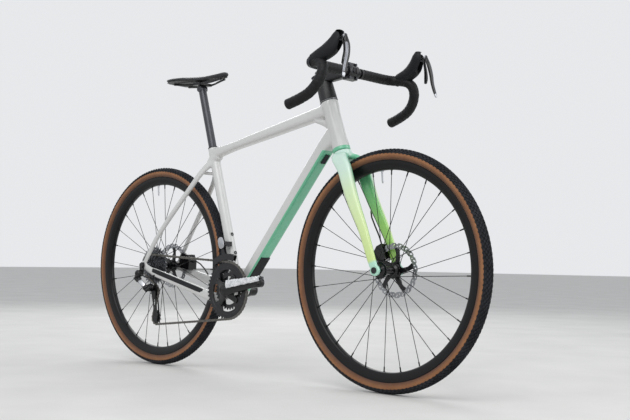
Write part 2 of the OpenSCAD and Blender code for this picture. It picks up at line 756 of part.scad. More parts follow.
module front_derailleur_cage() {
    color("silver") {
        translate([bb.x, 0, bb.z]) {
            side_plate(-chain_line + 6, 1.2) {
                sector(72, 126, fd_in_r, fd_out_r);
                bar2d(polar(fd_out_r - 5, 104), xz(fd_pivot - bb) - [0, 4], 9, 4);
            }
            side_plate(-chain_line - 4.8, 1.2) sector(72, 126, fd_in_r, fd_out_r);
            side_plate(-chain_line + 5.5, 11) sector(100, 112, fd_out_r - 1.5, fd_out_r);
            side_plate(-chain_line + 5.5, 11) sector(123, 126, fd_in_r, fd_in_r + 2);
        }
        difference() {
            union() {
                translate(fd_pivot + [-11.7, 0, 0]) rotate([0, 90, 0]) cylinder(h = 23.4, r = 4.5);
                translate(fd_pivot + [-6, -4.2, -10]) cube([12, 2.4, 9]);
            }
            translate(fd_pivot + [-13, 0, 0]) rotate([0, 90, 0]) cylinder(h = 26, r = pin_r + run_gap);
        }
    }
}

// Thru axles
module rear_axle() {
    end = rear_half + dropout_t;
    color("dimgray") translate(rear_c) {
        across(-end - hanger_t - 3.6, end + 0.5, axle_r);
        across(-end - hanger_t - 3.8, -end - hanger_t - seat_gap, 9);
        across(end + seat_gap, end + 3, 9.5);
    }
}

module front_axle() {
    end = front_half + fork_end_t;
    color("dimgray") translate(front_c) {
        across(-end - 0.5, end + 0.5, axle_r);
        across(-end - 3, -end - seat_gap, 9);
        across(end + seat_gap, end + 2, 8);
    }
}

// Brakes: a caliper is a block drawn in the XZ plane about the axle, slotted for the rotor and its pads

rotor_r = rotor_d / 2;
pad_r = rotor_r - 9;
pad_gap = 0.8;
pad_t = 3.5;
slot_half = 5.6;
front_pad_at = unit([-58.6, 47.3]) * pad_r;
rear_pad_at = unit([73, 24]) * pad_r;

module caliper_slot(rotor_y) {
    across(rotor_y - slot_half, rotor_y + slot_half, rotor_r + 4);
}

// Pad on the side way of the rotor
module pad(at, rotor_y, way) {
    y0 = rotor_y + way * (rotor_t / 2 + pad_gap);
    a = atan2(at.y, at.x);
    color("dimgray") side_plate(way > 0 ? y0 + pad_t : y0, pad_t) translate(at) rotate(a) difference() {
        square([18, 24], center = true);
        translate([5, 0]) circle(1.6);
    }
}

module front_caliper() {
    color("black") difference() {
        translate(front_c) difference() {
            union() {
                side_plate(60, 31) rotate(114.7)
                    polygon([[45, 12], [91, 12], [91, 30], [78, 50], [54, 50], [45, 36]]);
                side_plate(72, 13) rotate(114.7) translate([70, 36]) circle(11);
            }
            caliper_slot(front_rotor_y);
        }
        in_steer() fork_leg(1, 0.3);
    }
}

module rear_caliper() {
    color("black") difference() {
        translate(rear_c) difference() {
            union() {
                side_plate(80, 36) polygon([[50, -6], [102, -12], [104, 18], [92, 40], [64, 46], [50, 30]]);
                side_plate(86, 7) translate([76, 22]) circle(11);
            }
            caliper_slot(rear_rotor_y);
        }
        chainstay(1, 0.3);
    }
}

module front_pad_outer() {
    translate(front_c) pad(front_pad_at, front_rotor_y, 1);
}

module front_pad_inner() {
    translate(front_c) pad(front_pad_at, front_rotor_y, -1);
}

module rear_pad_outer() {
    translate(rear_c) pad(rear_pad_at, rear_rotor_y, 1);
}

module rear_pad_inner() {
    translate(rear_c) pad(rear_pad_at, rear_rotor_y, -1);
}

// Rear brake hose, shift housing and front derailleur cable
hose_r = 2.5;
function from(c, p) = [for (q = p) c + q];
rear_hose = from(rear_c, [[104.5, 64, 14], [122, 64, 16], [145, 62, 8], [168, 61, -8], [190, 60, -28]]);
shift_loop = from(rear_c, [[70, -77.5, -32], [56, -83, -40], [36, -89, -42], [18, -92, -36], [5, -94, -31]]);
fd_cable = from(fd_pivot, [[-6, 20, -8.3], [0, 18, -40], [8, 20, -80], [14, 25, -104], [16, 28, -112]]);

module frame_cables() {
    color("black") difference() {
        union() {
            tube(rear_hose, hose_r);
            tube(shift_loop, hose_r);
            tube(fd_cable, 0.8, 6);
        }
        chainstay(1, 0.3);
        chainstay(-1, 0.3);
        on_seat(0) cylinder(h = 200, r = seat_tube_d / 2 + seat_gap);
        derailleur_mount();
    }
}

// Seatpost and saddle

rail_r = 3.5;
rail_y = 22;
post_top = seat_at(saddle_up);
rail_up = 15.5;
rail_z = post_top.z + rail_up;
saddle_x = post_top.x + 131 * saddle_l / 272;
pad_low = rail_z + 14.7;

module seatpost() {
    color("dimgray") {
        on_seat(seat_tube_l - post_in) cylinder(h = saddle_up - seat_tube_l + post_in, r = post_d / 2);
        translate(post_top) across(-15, 15, 11);
    }
}

module saddle_clamp() {
    w = rail_y + 6;
    color("dimgray") translate([post_top.x, 0, 0]) difference() {
        union() {
            translate([-19, -w, post_top.z + 11.2]) cube([38, 2 * w, rail_up - 11.4]);
            translate([-17, -w, rail_z + 0.2]) cube([34, 2 * w, 4.6]);
            for (x = [-12, 12]) translate([x, 0, post_top.z + 11.5]) {
                cylinder(h = rail_up - 5, r = 2.5);
                translate([0, 0, rail_up - 6.6]) cylinder(h = 3, r = 4);
            }
        }
        for (y = [-rail_y, rail_y])
            translate([-30, y, rail_z]) rotate([0, 90, 0]) cylinder(h = 60, r = rail_r + run_gap);
    }
}

module saddle_rails() {
    mid = [post_top.x, 0, rail_z];
    front = from(mid, [[30, 22, 0], [44, 19, 0.5], [62, 13.5, 2], [90, 10, 6], [106, 8.5, 7.8]]);
    back = from(mid, [[-34, 22, 0], [-62, 25, 2], [-94, 30, 6], [-112, 33, 7.8]]);
    color("black") for (side = [-1, 1]) {
        rod(post_top + [-34.5, side * rail_y, rail_up], post_top + [30.5, side * rail_y, rail_up], rail_r);
        tube(flip(front, side), rail_r, 12);
        tube(flip(back, side), rail_r, 12);
    }
}

// Half width of the saddle at the part k of its length from the tail
saddle_shape = [[0, 0.62], [0.03, 0.8], [0.09, 0.93], [0.18, 1], [0.3, 0.93], [0.42, 0.68], [0.53, 0.45],
    [0.66, 0.34], [0.82, 0.29], [0.94, 0.24], [0.985, 0.17], [1, 0.08]];
function saddle_dip(k) = 4 * pow(2 * k - 0.9, 2);

module saddle_base() {
    color("black") loft(
        [for (q = saddle_shape) [saddle_x - (1 - q[0]) * (saddle_l - 10) - 5, 0, pad_low - 1.7]],
        [for (q = saddle_shape) saddle_w / 2 * q[1] - 5.5], 1.5, 0.3, 16);
}

module saddle_pad() {
    color("black") difference() {
        loft([for (q = saddle_shape) [saddle_x - (1 - q[0]) * saddle_l, 0, pad_low + 0.5 + saddle_dip(q[0])]],
            [for (q = saddle_shape) saddle_w / 2 * q[1]],
            [for (q = saddle_shape) q[0] < 0.01 || q[0] > 0.99 ? 7 : 10.5], 0.75, 20);
        loft([for (q = saddle_shape) [saddle_x - (1 - q[0]) * (saddle_l - 9) - 4.5, 0, pad_low - 15]],
            [for (q = saddle_shape) saddle_w / 2 * q[1] - 5.2], 15.1, 0.1, 20);
    }
}

// Fork: drawn about the steering axis, X forward, Z from the foot upwards

fork_end_t = 10;
ct = crown_t;
leg_path = [[1, 8, ct - 13], [8, 29, ct - 22], [15, 39, ct - 40], [22, 42, ct - 62], [26, 43.5, ct - 78],
    [28, 45.5, ct * 0.68], [31.5, 48, ct * 0.536], [43, 52, ct * 0.323], [47.5, 55, 32],
    [fork_offset, front_half + fork_end_t / 2, 4]];
stem_top = stem_t0 + stem_h;

module in_steer() {
    on_steer(0) children();
}

module fork_leg(side, more = 0) {
    loft(flip(leg_path, side), [for (w = [24, 24.5, 25, 25, 24, 22, 19.5, 15.5, 13.5, 12]) w + more],
        [for (h = [11, 12, 12.5, 12, 11.5, 11, 10, 8.5, 7.5, 4.8]) h + more], 0.75, 16, [1, 0, 0]);
}

module fork() {
    color("gainsboro") difference() {
        union() {
            in_steer() {
                for (side = [-1, 1]) fork_leg(side);
                translate([0, 0, ct - 9]) cylinder(h = 9, r = head_r);
                loft([[0, 0, ct - 2], [0, 0, ct - 9], [1, 0, ct - 17], [2, 0, ct - 25]], [27, 28.5, 35, 38],
                    [27, 27, 26, 22], 0.85, 24);
                translate([0, 0, ct - 2]) cylinder(h = 3 + crown_down, r = lower_steer_r);
                translate([0, 0, ct + crown_down]) cylinder(h = 20, r1 = lower_steer_r, r2 = steerer_r);
                translate([0, 0, ct]) cylinder(h = stem_top - 3 - ct, r = steerer_r);
            }
            for (side = [0, 180])
                translate(front_c) rotate([0, 0, side]) across(front_half, front_half + fork_end_t, 16);
        }
        translate(front_c) across(-front_gap, front_gap, axle_r + run_gap);
        translate(front_c) across(-front_half, front_half, 26);
        in_steer() translate([0, 0, ct - 40]) cylinder(h = head_tube_l * 3, r = steerer_r - 3);
    }
}

module front_hose() {
    path = [[22, 47, ct * 0.55], [12, 47, ct * 0.5], [9, 47.5, ct * 0.46], [12, 49, ct * 0.38],
        [16, 50, ct * 0.305], [17.5, 50, ct * 0.22]];
    color("black") difference() {
        in_steer() tube(path, hose_r);
        in_steer() fork_leg(1, 0.3);
        front_caliper();
    }
}

module headset_cover() {
    color("black") on_steer(cover_t0) difference() {
        cylinder(h = cover_h, r1 = head_r, r2 = head_r - 1.9);
        translate([0, 0, -1]) cylinder(h = cover_h + 2, r = steerer_r + run_gap);
    }
}

// Stem

stem_r = 22;
clamp_r = bar_clamp_r + 5.5;
face_bolt_z = bar_clamp_r + 4.8;
face_bolt_y = 15;
bolt_r = 2.5;

// Children about the bar's centre with X along the stem
module at_bar() {
    translate(bar_c) rotate([0, -stem_rise, 0]) children();
}

module clamp_shape() {
    circle(clamp_r);
    translate([-10, -face_bolt_z - 5]) square([20, 2 * face_bolt_z + 10]);
}

module steer_bolts(r, head) {
    on_steer(stem_t0) for (z = [11, stem_h - 11]) translate([-stem_r - 4, -16, z]) rotate([-90, 0, 0]) {
        cylinder(h = 32, r = r);
        if (head > 0) translate([0, 0, -3]) cylinder(h = 4, r = head);
    }
}

module stem() {
    color("black") difference() {
        union() {
            on_steer(stem_t0) cylinder(h = stem_h, r = stem_r);
            on_steer(stem_t0) translate([-stem_r - 9, -13, 3]) cube([20, 26, stem_h - 6]);
            loft([steer_at(stem_t) + stem_dir * 8, steer_at(stem_t) + stem_dir * 34, bar_c - stem_dir * 34,
                bar_c - stem_dir * 14], [18, 17, 18, clamp_half - 1], [19, 17.5, 16.5, 17.5], 0.65, 20);
            at_bar() side_plate(clamp_half, 2 * clamp_half) clamp_shape();
        }
        on_steer(stem_t0) translate([0, 0, -30]) cylinder(h = 30, r = head_r + 2);
        on_steer(stem_t0) translate([0, 0, -1]) cylinder(h = stem_h + 2, r = steerer_r + run_gap);
        on_steer(stem_t0) translate([-stem_r - 20, -0.75, -1]) cube([stem_r + 10, 1.5, stem_h + 2]);
        at_bar() {
            translate([-0.5, -30, -60]) cube([60, 60, 120]);
            across(-30, 30, bar_clamp_r + run_gap);
        }
        face_bolts(bolt_r + run_gap, 0);
        steer_bolts(bolt_r + run_gap, 4.3);
    }
}

module face_bolts(r, head) {
    at_bar() for (y = [-face_bolt_y, face_bolt_y], z = [-face_bolt_z, face_bolt_z])
        translate([-9.5, y, z]) rotate([0, 90, 0]) {
            cylinder(h = 21, r = r);
            if (head > 0) translate([0, 0, 19.8]) cylinder(h = 4.5, r = head);
        }
}

module stem_faceplate() {
    color("black") difference() {
        at_bar() difference() {
            side_plate(clamp_half, 2 * clamp_half) clamp_shape();
            translate([-60.5, -30, -60]) cube([61, 60, 120]);
            across(-30, 30, bar_clamp_r + run_gap);
            for (y = [-7, 0, 7])
                translate([13, y - 1.6, -face_bolt_z + 12]) cube([20, 3.2, 2 * face_bolt_z - 24]);
        }
        face_bolts(bolt_r + run_gap, 4.2);
    }
}

// Faceplate bolts, steerer clamp bolts and the top cap with its bolt
module cockpit_bolts() {
    color("dimgray") {
        face_bolts(bolt_r, 4);
        steer_bolts(bolt_r, 4.1);
        on_steer(stem_top) {
            translate([0, 0, seat_gap]) cylinder(h = 3.5, r = 17);
            translate([0, 0, -16]) cylinder(h = 17, r = 3);
            translate([0, 0, 3]) cylinder(h = 2.6, r = 4);
        }
    }
}

// Handlebar: half path from the middle to the end of one drop
hook_shape = [[0.58, 0.03, -0.048], [0.83, 0.13, -0.097], [1, 0.26, -0.2], [1.04, 0.41, -0.347],
    [0.974, 0.54, -0.51], [0.81, 0.67, -0.67], [0.55, 0.77, -0.81], [0.19, 0.87, -0.91], [-0.1, 0.94, -0.97],
    [-0.37, 1, -1.016]];
tops = [[0, 0, 0], [0.4, tape_start - 6, 0], [1, 70, 0], [4, bar_half - 46, -1], [6.5, bar_half - 30, -1.2],
    [12, bar_half - 15, -1.8], [26, bar_half - 3.5, -3]];
hooks = [for (q = hook_shape) [q[0] * bar_reach, bar_half + q[1] * bar_flare, q[2] * bar_drop]];
bar_half_path = [for (q = concat(tops, hooks)) bar_c + q];
side_path = [for (i = [1 : len(bar_half_path) - 1]) bar_half_path[i]];
tape_path = concat([bar_c + [0.5, tape_start, 0]], [for (i = [2 : len(bar_half_path) - 1]) bar_half_path[i]]);
bar_side = [0.1, 0, 1];

module handlebar() {
    color("black") {
        for (side = [-1, 1]) {
            q = flip(side_path, side);
            sleeve(tube_rings(q, bar_r, 16, bar_side), tube_rings(q, bar_r - 2, 16, bar_side));
        }
        translate(bar_c) difference() {
            union() {
                across(-34, 34, bar_clamp_r);
                across(3 - tape_start, -34, bar_r, bar_clamp_r);
                across(34, tape_start - 3, bar_clamp_r, bar_r);
            }
            across(-tape_start - 1, tape_start + 1, bar_r - 2);
        }
    }
}

// Tape over both halves, with the end plugs
module bar_tape() {
    n = len(tape_path) - 1;
    color("black") for (side = [-1, 1]) {
        q = flip(tape_path, side);
        sleeve(tube_rings(q, tape_r, 16, bar_side), tube_rings(q, bar_r + 0.1, 16, bar_side));
        t = tangent(q, n);
        rod(q[n] - t * 12, q[n] + t * 1.5, bar_r - 2.4);
        rod(q[n] + t * 0.2, q[n] + t * 3, tape_r - 1);
    }
}

// Control levers: hood, pivoting block, brake blade and shift paddle

lever_pin = [125, -9, 50];
lever_u = [0.951, 0, 0.309];
stub_r = 3;
hood_shape = [[33, 0, 3, 16, 15], [56, 1, 8, 17.5, 19.5], [78, -1, 16, 18, 22], [98, -5, 29, 18, 23.5],
    [110, -9, 45, 17.5, 20.5], [117, -12, 60, 16, 17.5], [120, -13, 71, 11.5, 12.5], [121, -13, 76, 6, 6.5]];
blade_path = [[19, 0, 4], [29, 2, -20], [34, 7, -48], [34, 14, -75], [36, 22, -98], [38, 28, -113]];
paddle_path = [[11, 0, -1], [16, -1, -20], [19, 0, -40], [18, 3, -60], [15, 5, -73]];

// Children at the lever's pin on one side, Y pointing outwards
module at_lever(side) {
    mirror([0, side < 0 ? 1 : 0, 0])
        translate(bar_c + [lever_pin.x, bar_half + lever_pin.y, lever_pin.z]) children();
}

module hood(side) {
    q = [for (h = hood_shape) bar_c + [h[0], bar_half + h[1], h[2]]];
    difference() {
        union() {
            loft(flip(q, side), [for (h = hood_shape) h[3]], [for (h = hood_shape) h[4]], 0.85, 20);
            at_lever(side) side_plate(12.5, 25) bar2d([-22, -12], [0, 0], 10, 6.5);
        }
        skin(tube_rings(flip(tape_path, side), tape_r + 0.3, 16, bar_side));
        at_lever(side) {
            translate([-14, -9, -60]) cube([60, 18, 84]);
        }
    }
    at_lever(side) across(-12, 12, bolt_r);
}

module brake_hoods() {
    color("black") for (side = [-1, 1]) hood(side);
}

module lever_block(side) {
    color("dimgray") at_lever(side) difference() {
        union() {
            across(-8.7, 8.7, 6);
            rod([0, 0, 0], lever_u * 23, stub_r);
            rod(lever_u * 21.7, lever_u * 23, 5);
        }
        across(-20, 20, bolt_r + run_gap);
    }
}

module lever_ring(a, b, r) {
    difference() {
        union() {
            rod(lever_u * a, lever_u * b, r);
            children();
        }
        rod([0, 0, 0], lever_u * 40, stub_r + run_gap);
        rod(lever_u * (b + 0.1), lever_u * 40, 6);
        rod([0, 0, 0], lever_u * (a - 0.1), 7.5);
    }
}

module brake_lever(side) {
    color("dimgray") at_lever(side) lever_ring(14.6, 21.4, 6.5)
        loft(blade_path, [6, 9, 8.5, 7.5, 7, 5], [5, 4, 3.5, 3, 3, 2.4], 0.8, 16, [0, 1, 0]);
}

module shift_paddle(side) {
    color("dimgray") at_lever(side) lever_ring(8.2, 13.8, 6)
        loft(paddle_path, [6, 6.5, 8, 9, 7], [3, 2.4, 2, 2, 1.6], 0.8, 12, [0, 1, 0]);
}

module lever_block_right() {
    lever_block(-1);
}

module lever_block_left() {
    lever_block(1);
}

module brake_lever_right() {
    brake_lever(-1);
}

module brake_lever_left() {
    brake_lever(1);
}

module shift_paddle_right() {
    shift_paddle(-1);
}

module shift_paddle_left() {
    shift_paddle(1);
}

// Wheels

valve_r = 3;
valve_angle = 94.5;
tube_in_r = 14;
tyre_half = tyre_w / 2;
seat_r = rim_seat_d / 2;
front_flanges = [-32, 27];
rear_flanges = [-18, 34];
flange_r = 24;

// Both halves of a profile given for the side +Y
function both(p) = concat(p, [for (i = [len(p) - 1 : -1 : 0]) [p[i][0], -p[i][1]]]);

module tyre(c) {
    outside = [[seat_r - 2, 11], [seat_r + 7, 11.3], [seat_r + 12, tyre_half * 0.78],
        [seat_r + tyre_w * 0.4, tyre_half * 0.96], [seat_r + tyre_w * 0.58, tyre_half],
        [seat_r + tyre_w * 0.76, tyre_half * 0.9], [seat_r + tyre_w * 0.9, tyre_half * 0.68],
        [tyre_r - 1, tyre_half * 0.4], [tyre_r, tyre_half * 0.12]];
    inside = [[seat_r - 2, 8.6], [seat_r + 7, 8.8], [seat_r + 13, tyre_half * 0.62],
        [seat_r + tyre_w * 0.5, tyre_half - 3], [seat_r + tyre_w * 0.66, tyre_half - 3.2],
        [seat_r + tyre_w * 0.82, tyre_half * 0.62], [tyre_r - 4, tyre_half * 0.3]];
    color("tan") translate(c) difference() {
        turned(both(outside));
        turned(both(concat([[seat_r - 4, 8.6]], inside)));
    }
}

module inner_tube(c) {
    r = seat_r + tyre_w * 0.525;
    color("dimgray") translate(c) {
        rotate([90, 0, 0]) rotate_extrude() translate([r, 0]) difference() {
            circle(tube_in_r);
            circle(tube_in_r - 1);
        }
        rotate([0, -valve_angle, 0]) translate([rim_in_r - 35, 0, 0]) rotate([0, 90, 0])
            cylinder(h = r - tube_in_r + 0.6 - rim_in_r + 35, r = valve_r);
    }
}

module rim(c) {
    w = rim_w / 2;
    color("black") translate(c) difference() {
        turned(both([[rim_in_r, 5], [rim_in_r + 1.5, 8.5], [rim_in_r + 8, w - 1.5], [rim_r - 8, w],
            [rim_r, w], [rim_r, 11.7], [seat_r - 3, 11.4], [seat_r - 5, 6]]));
        turned(both([[rim_in_r + 3, 5], [rim_in_r + 9, w - 5], [seat_r - 8, w - 4]]));
        rotate([0, -valve_angle, 0]) translate([rim_in_r - 5, 0, 0]) rotate([0, 90, 0])
            cylinder(h = 30, r = valve_r + 0.3);
    }
}

module spokes(c, flanges) {
    per_side = spoke_count / 2;
    color("black") translate(c) for (k = [0 : spoke_count - 1]) {
        side = k % 2;
        lead = floor(k / 2) % 2 * 2 - 1;
        a = valve_angle + (k + 0.5) * 360 / spoke_count;
        h = a + lead * 2 * 360 / per_side;
        root = [22 * cos(h), flanges[side] + lead * 2.8, 22 * sin(h)];
        end = [(rim_in_r - 0.4) * cos(a), (side * 2 - 1) * 3, (rim_in_r - 0.4) * sin(a)];
        rod(root, end, spoke_d / 2);
        rod(end + unit(root - end) * 13, end, spoke_d / 2 + 1);
    }
}

// Hub shell with two flanges and a boss for the rotor
module hub(c, f, y0, y1, rotor_y) {
    b = axle_r + run_gap;
    cap = axle_r + 3;
    face = rotor_y - rotor_t / 2 - 0.1;
    color("black") translate(c) turned([[b, y0], [cap, y0], [cap, max(f[0] - 6, y0)],
        [18, f[0] - 1.5], [flange_r, f[0] - 1.5], [flange_r, f[0] + 1.5], [18, f[0] + 1.5], [12.5, f[0] + 6],
        [12.5, f[1] - 6], [18, f[1] - 1.5], [flange_r, f[1] - 1.5], [flange_r, f[1] + 1.5],
        [17, f[1] + 1.5], [17, face], [14, face], [14, face + rotor_t + 0.2],
        [21.5, face + rotor_t + 0.2], [21.5, face + rotor_t + 3], [cap + 4, face + rotor_t + 3.4],
        [cap, face + rotor_t + 6], [cap, y1], [b, y1]]);
}

module rotor(c, y) {
    color("silver") translate(c) side_plate(y + rotor_t / 2, rotor_t) difference() {
        union() {
            difference() {
                circle(rotor_r);
                circle(rotor_r - 17);
            }
            circle(21.5);
            for (k = [0 : 4]) bar2d(polar(18, 72 * k), polar(rotor_r - 14, 72 * k + 34), 4.5, 3.5);
        }
        circle(14.1);
        for (k = [0 : 17], q = [[4.5, 0], [9, 5], [13.5, 10]])
            translate(polar(rotor_r - q[0], 20 * k + q[1])) circle(1.9);
    }
}

module front_tyre() {
    tyre(front_c);
}

module front_inner_tube() {
    inner_tube(front_c);
}

module front_rim() {
    rim(front_c);
}

module front_spokes() {
    spokes(front_c, front_flanges);
}

module front_hub() {
    hub(front_c, front_flanges, seat_gap - front_half, front_half - seat_gap, front_rotor_y);
}

module front_rotor() {
    rotor(front_c, front_rotor_y);
}

module rear_tyre() {
    tyre(rear_c);
}

module rear_inner_tube() {
    inner_tube(rear_c);
}

module rear_rim() {
    rim(rear_c);
}

module rear_spokes() {
    spokes(rear_c, rear_flanges);
}

module rear_hub() {
    hub(rear_c, rear_flanges, -21.5, rear_half - seat_gap, rear_rotor_y);
}

module rear_rotor() {
    rotor(rear_c, rear_rotor_y);
}

frame();
bottle_bosses();
frame_bearings();
frame_guards();
seat_clamp();
derailleur_hanger();
derailleur_mount();
rear_axle();
rear_caliper();
frame_cables();
front_derailleur();
chain();
front_derailleur_cage();
seatpost();
saddle_clamp();
saddle_rails();
saddle_base();
saddle_pad();
fork();
headset_cover();
stem();
stem_faceplate();
cockpit_bolts();
handlebar();
bar_tape();
brake_hoods();
front_caliper();
front_hose();
front_axle();
lever_block_right();
lever_block_left();
brake_lever_right();
brake_lever_left();
shift_paddle_right();
shift_paddle_left();
front_tyre();
front_inner_tube();
front_rim();
front_spokes();
front_hub();
front_rotor();
rear_tyre();
rear_inner_tube();
rear_rim();
rear_spokes();
rear_hub();
rear_rotor();
front_pad_outer();
front_pad_inner();
rear_pad_outer();
rear_pad_inner();
cassette();
crank_right();
crank_left();
chainrings();
derailleur_link();
derailleur_knuckle();
derailleur_cage();
jockey_upper();
jockey_lower();
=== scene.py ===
import math
import random
import bpy
import bmesh
from mathutils import Matrix, Vector, noise
from mathutils.geometry import tessellate_polygon


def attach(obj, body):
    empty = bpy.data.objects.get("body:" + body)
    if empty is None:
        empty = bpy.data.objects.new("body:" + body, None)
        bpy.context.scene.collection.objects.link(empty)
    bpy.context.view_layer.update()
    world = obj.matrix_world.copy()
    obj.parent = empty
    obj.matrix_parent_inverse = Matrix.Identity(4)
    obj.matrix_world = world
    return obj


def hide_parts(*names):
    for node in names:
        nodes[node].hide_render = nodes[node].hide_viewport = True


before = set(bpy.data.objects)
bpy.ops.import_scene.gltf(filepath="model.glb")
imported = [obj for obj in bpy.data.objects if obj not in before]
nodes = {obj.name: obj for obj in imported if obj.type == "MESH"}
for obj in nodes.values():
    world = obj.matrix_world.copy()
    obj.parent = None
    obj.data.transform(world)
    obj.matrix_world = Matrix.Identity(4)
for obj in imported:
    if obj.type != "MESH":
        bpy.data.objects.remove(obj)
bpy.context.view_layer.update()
scene = bpy.context.scene
random.seed(7)
mm = 0.001
print("frame loaded:", len(nodes), "nodes")

# sizes shared by all pieces, in millimetres
bike = {"tyreRadius": 351, "bbDrop": 76, "chainstay": 420, "frontCentre": 624, "headAngle": 70.5,
        "seatAngle": 73.5, "forkOffset": 50, "crown": 392, "headTube": 164, "seatTube": 500}
stayReach = math.sqrt(bike["chainstay"] ** 2 - bike["bbDrop"] ** 2)
rearHub = Vector((-(stayReach + bike["frontCentre"]) / 2, 0, bike["tyreRadius"]))
frontHub = Vector((-rearHub.x, 0, rearHub.z))
bottomBracket = rearHub + Vector((stayReach, 0, -bike["bbDrop"]))
headRad = math.radians(bike["headAngle"])
seatRad = math.radians(bike["seatAngle"])
steerUp = Vector((-math.cos(headRad), 0, math.sin(headRad)))
steerAhead = Vector((math.sin(headRad), 0, math.cos(headRad)))
steerFoot = frontHub - steerAhead * bike["forkOffset"]
seatUp = Vector((-math.cos(seatRad), 0, math.sin(seatRad)))
seatAhead = Vector((math.sin(seatRad), 0, math.cos(seatRad)))
headBottom = bike["crown"] + 1
headTop = headBottom + bike["headTube"]
downStart = bottomBracket + Vector((7, 0, -6))
downEnd = steerFoot + steerUp * (bike["crown"] + 73)
downAlong = (downEnd - downStart).normalized()
downUp = Vector((-downAlong.z, 0, downAlong.x))
stemAhead = Vector((math.cos(math.radians(4)), 0, math.sin(math.radians(4))))
barMiddle = steerFoot + steerUp * 639.2 + stemAhead * 109
crankRad = math.radians(10)
chainY = -50


def steerPoint(x, y, t):
    return steerFoot + steerAhead * x + Vector((0, y, 0)) + steerUp * t


def seatPoint(s):
    return bottomBracket + seatUp * s


def polar(r, degrees):
    a = math.radians(degrees)
    return Vector((r * math.cos(a), 0, r * math.sin(a)))


def mirrored(points, side):
    return [Vector((p[0], p[1] * side, p[2])) for p in points]


# curves and rings
def smoothRow(row, steps):
    out = []
    last = len(row) - 1
    for i in range(last):
        a, b, c, d = row[max(i - 1, 0)], row[i], row[i + 1], row[min(i + 2, last)]
        for k in range(steps):
            t = k / steps
            out.append((b * 2 + (c - a) * t + (a * 2 - b * 5 + c * 4 - d) * t * t
                        + (b * 3 - a - c * 3 + d) * t * t * t) * 0.5)
    out.append(row[last])
    return out


def tangentAt(path, i):
    return (path[min(i + 1, len(path) - 1)] - path[max(i - 1, 0)]).normalized()


def ringAt(centre, across, up, wide, deep, power, count):
    ring = []
    for k in range(count):
        a = 2 * math.pi * k / count
        c, s = math.cos(a), math.sin(a)
        x = math.copysign(abs(c) ** power, c) * wide
        y = math.copysign(abs(s) ** power, s) * deep
        ring.append(centre + across * x + up * y)
    return ring


def listed(value, count):
    return list(value) if isinstance(value, (list, tuple)) else [value] * count


# rings along a path, each with its width held near the direction side
def loftRings(path, wide, deep, power=1.0, side=(0, 1, 0), steps=6, count=36):
    n = len(path)
    line = smoothRow([Vector(p) for p in path], steps)
    wide = smoothRow(listed(wide, n), steps)
    deep = smoothRow(listed(deep, n), steps)
    power = smoothRow(listed(power, n), steps)
    side = Vector(side)
    rings = []
    for i, p in enumerate(line):
        t = tangentAt(line, i)
        across = (side - t * side.dot(t)).normalized()
        rings.append(ringAt(p, across, t.cross(across), wide[i], deep[i], power[i], count))
    return rings


# round tube rings with the first direction carried along
def tubeRings(path, radius, steps=4, count=16, grow=None):
    line = smoothRow([Vector(p) for p in path], steps) if steps > 1 else [Vector(p) for p in path]
    radius = smoothRow(listed(radius, len(path)), steps) if steps > 1 else listed(radius, len(path))
    first = tangentAt(line, 0)
    across = first.orthogonal().normalized()
    rings = []
    for i, p in enumerate(line):
        t = tangentAt(line, i)
        across = (across - t * across.dot(t)).normalized()
        up = t.cross(across)
        ring = []
        for k in range(count):
            a = 2 * math.pi * k / count
            r = radius[i] + (grow(i, k / count) if grow else 0)
            ring.append(p + across * (r * math.cos(a)) + up * (r * math.sin(a)))
        rings.append(ring)
    return rings


# rounded ends: rings that close like a dome beyond each end
def domed(rings, depth=4, steps=4):
    def centre(ring):
        return sum(ring, Vector()) / len(ring)

    def cap(ring, nextRing):
        c = centre(ring)
        out = (c - centre(nextRing)).normalized()
        extra = []
        for k in range(1, steps + 1):
            a = k / steps * math.pi / 2 * 0.97
            extra.append([c + out * (depth * math.sin(a)) + (p - c) * math.cos(a) for p in ring])
        return extra
    return cap(rings[0], rings[1])[::-1] + rings + cap(rings[-1], rings[-2])


def circlePoints(r, count, cx=0.0, cz=0.0, turn=0.0):
    return [(cx + r * math.cos(2 * math.pi * (k + turn) / count), cz + r * math.sin(2 * math.pi * (k + turn) / count))
            for k in range(count)]


# outline of a bar with round ends between two places of a drawing
def barOutline(a, b, ra, rb, count=10):
    d = (b[0] - a[0], b[1] - a[1])
    base = math.atan2(d[1], d[0])
    lean = math.acos((ra - rb) / math.hypot(*d))
    out = []
    for k in range(count + 1):
        q = base + lean + (2 * math.pi - 2 * lean) * k / count
        out.append((a[0] + ra * math.cos(q), a[1] + ra * math.sin(q)))
    for k in range(count + 1):
        q = base - lean + 2 * lean * k / count
        out.append((b[0] + rb * math.cos(q), b[1] + rb * math.sin(q)))
    return out


# outline of a curved arm along a row of drawing places with half widths
def armOutline(row, halfWide, steps=6):
    line = smoothRow([Vector((p[0], p[1], 0)) for p in row], steps)
    wide = smoothRow(halfWide, steps)
    left = []
    right = []
    for i, p in enumerate(line):
        t = tangentAt(line, i)
        left.append((p.x - t.y * wide[i], p.y + t.x * wide[i]))
        right.append((p.x + t.y * wide[i], p.y - t.x * wide[i]))
    return left + right[::-1]


